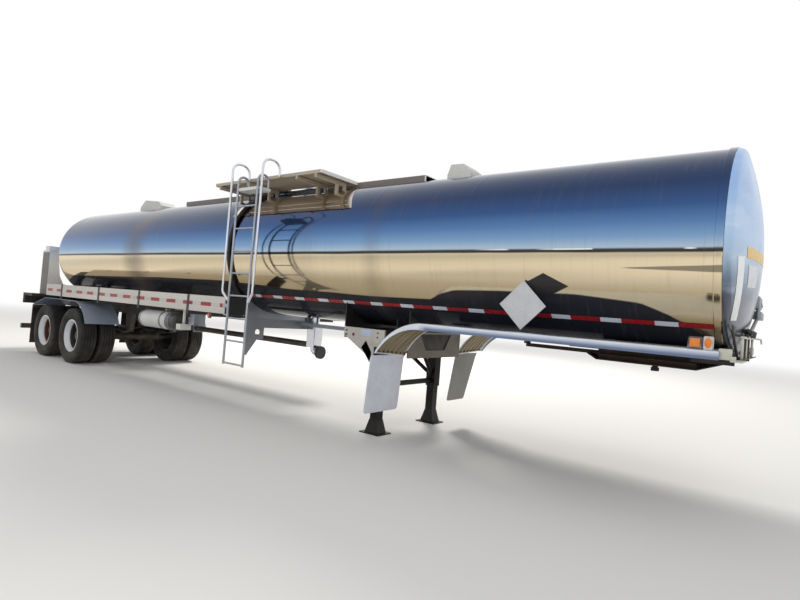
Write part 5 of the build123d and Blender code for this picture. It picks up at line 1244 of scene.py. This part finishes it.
LABELS = [  # name, colour, fade, corners
    ("white_strip", srgb(0.95, 0.96, 0.96), 0.25,
     [(-0.660, 1.545), (-0.545, 1.550), (-0.650, 2.035), (-0.770, 2.022)]),
    ("yellow_label", srgb(0.93, 0.78, 0.42), 0.35,
     [(-0.600, 2.030), (0.300, 2.045), (0.300, 2.130), (-0.605, 2.118)]),
    ("white_label", srgb(0.86, 0.87, 0.90), 0.35,
     [(-0.500, 1.815), (-0.250, 1.830), (-0.240, 2.000), (-0.545, 1.985)]),
]
for name, colour, fade, corners in LABELS:
    bm = bmesh.new()
    label(bm, corners)
    make_piece("blank_" + name, bm, film(name + "_film", colour, fade), slot="white_paint")

# %% [markdown]
# ## On the landing gear's support
# The support's outer plate carries a cover over the leg, a blank label plate, four bolts, a hole
# with rust round it and a dark plate at its slanted edge. Another dark plate behind the window in
# its front panel is painted shade: it stands in for the dark seen through the window.

# %% Support details
GUSSET_Y = 0.630
LABEL_PLATE = ((st(7.832), st(8.052)), (-GUSSET_Y - 0.002, -GUSSET_Y), (1.104, 1.178))
RUST_SPOT = (st(7.711), 1.105)
RUST_LINE = [(0, 0.0), (0.0, 0.020), (0.003, 0.018), (0.003, 0.010), (0.001, 0.008), (0.001, 0.0)]
DARK_PLATE = [(7.916, 1.049), (7.850, 0.962), (7.985, 0.822), (8.012, 0.845), (8.009, 0.924)]
DARK_PLATE_T = 0.0035
SUPPORT_BOLTS = [(station, z) for station in (7.60, 8.09) for z in (1.10, 1.15)]
LEG_COVER = ((st(7.98), st(8.19)), (-GUSSET_Y - 0.003, -GUSSET_Y + 0.001), (0.990, 1.190))
# painted shade: a dark plate behind the front panel's window
SHADE_BACKING_PLATE = ((st(8.445), st(8.471)), (-0.330, 0.330), (0.985, 1.176))
bm = bmesh.new()
block(bm, *LEG_COVER, bevel=0.001)
make_piece("leg_cover_plates", bm, "support_sheet", slot="grey_aluminium", mirrored=True)
bm = bmesh.new()
block(bm, *SHADE_BACKING_PLATE, bevel=0.002)
make_piece("support_painted_shade_backing", bm, "dark_steel")
bm = bmesh.new()
block(bm, *LABEL_PLATE, bevel=0.0006)
plate_film = film("plate_film", srgb(0.70, 0.74, 0.84), 0.4)
make_piece("support_label_plates", bm, plate_film, slot="white_paint", mirrored=True)
bm = bmesh.new()
face = bm.faces.new([bm.verts.new((st(station), -GUSSET_Y - 0.0005, z)) for station, z in DARK_PLATE])
bmesh.ops.solidify(bm, geom=[face], thickness=DARK_PLATE_T)
for station, z in SUPPORT_BOLTS:
    ends = [(st(station), -GUSSET_Y - depth, z) for depth in (0, 0.010)]
    drum(bm, *ends, 0.010, segments=6, bevel=0.0015)
make_piece("support_dark_plates", bm, "dark_steel", mirrored=True)
bm = bmesh.new()
turn(bm, RUST_LINE, (RUST_SPOT[0], -GUSSET_Y - 0.0002, RUST_SPOT[1]), (0, -1, 0), steps=28)
make_piece("support_rusty_holes", bm, hub_finish["rear"], slot="dark_steel", mirrored=True)

# %% [markdown]
# ## Under the right tray
# The air tank has ribs. Ahead of it a pale box hangs from the tray by a strap, and an amber lamp
# sits on a small bracket.

# %% Under the right tray
AIR_TANK_R, AIR_TANK_Y, AIR_TANK_Z = 0.135, -1.000, 1.005
RIB_STATIONS = (4.345, 4.385, 4.425)
RIB_LINE = [(-0.012, AIR_TANK_R - 0.002), (-0.008, AIR_TANK_R + 0.005), (0.008, AIR_TANK_R + 0.005),
            (0.012, AIR_TANK_R - 0.002)]
TRAY_FLOOR_Z = 1.205
HUNG_BOX = ((st(4.665), st(4.790)), (-1.130, -0.960), (0.902, 0.988))
HUNG_STRAP = ((st(4.710), st(4.740)), (-1.060, -1.030), (0.980, TRAY_FLOOR_Z))
TRAY_LAMP_AT = (st(5.473), -1.120, 1.165)
TRAY_LAMP_LINE = [(0, 0.0), (0, 0.030), (0.014, 0.030), (0.024, 0.022), (0.028, 0.010), (0.029, 0.0)]
TRAY_LAMP_PLATE = ((st(5.435), st(5.511)), (-1.121, -1.112), (1.125, TRAY_FLOOR_Z))
bm = bmesh.new()
for station in RIB_STATIONS:
    turn(bm, RIB_LINE, (st(station), AIR_TANK_Y, AIR_TANK_Z), (1, 0, 0), steps=48)
make_piece("air_tank_ribs", bm, "grey_aluminium")
bm = bmesh.new()
block(bm, *HUNG_BOX, bevel=0.006)
block(bm, *HUNG_STRAP, bevel=0.003)
make_piece("pale_hung_box", bm, "white_paint")
bm = bmesh.new()
turn(bm, TRAY_LAMP_LINE, TRAY_LAMP_AT, (0, -1, 0), steps=28)
make_piece("tray_amber_lamp", bm, amber_lens, slot="red_lens")
bm = bmesh.new()
block(bm, *TRAY_LAMP_PLATE, bevel=0.002)
make_piece("tray_lamp_bracket", bm, "black_plastic")

# %% Print the size of the solids and of what is shown
size = {"cad": [list(corner) for corner in cad_bounds], "visual": [list(corner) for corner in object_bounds()]}
print("size:", size)
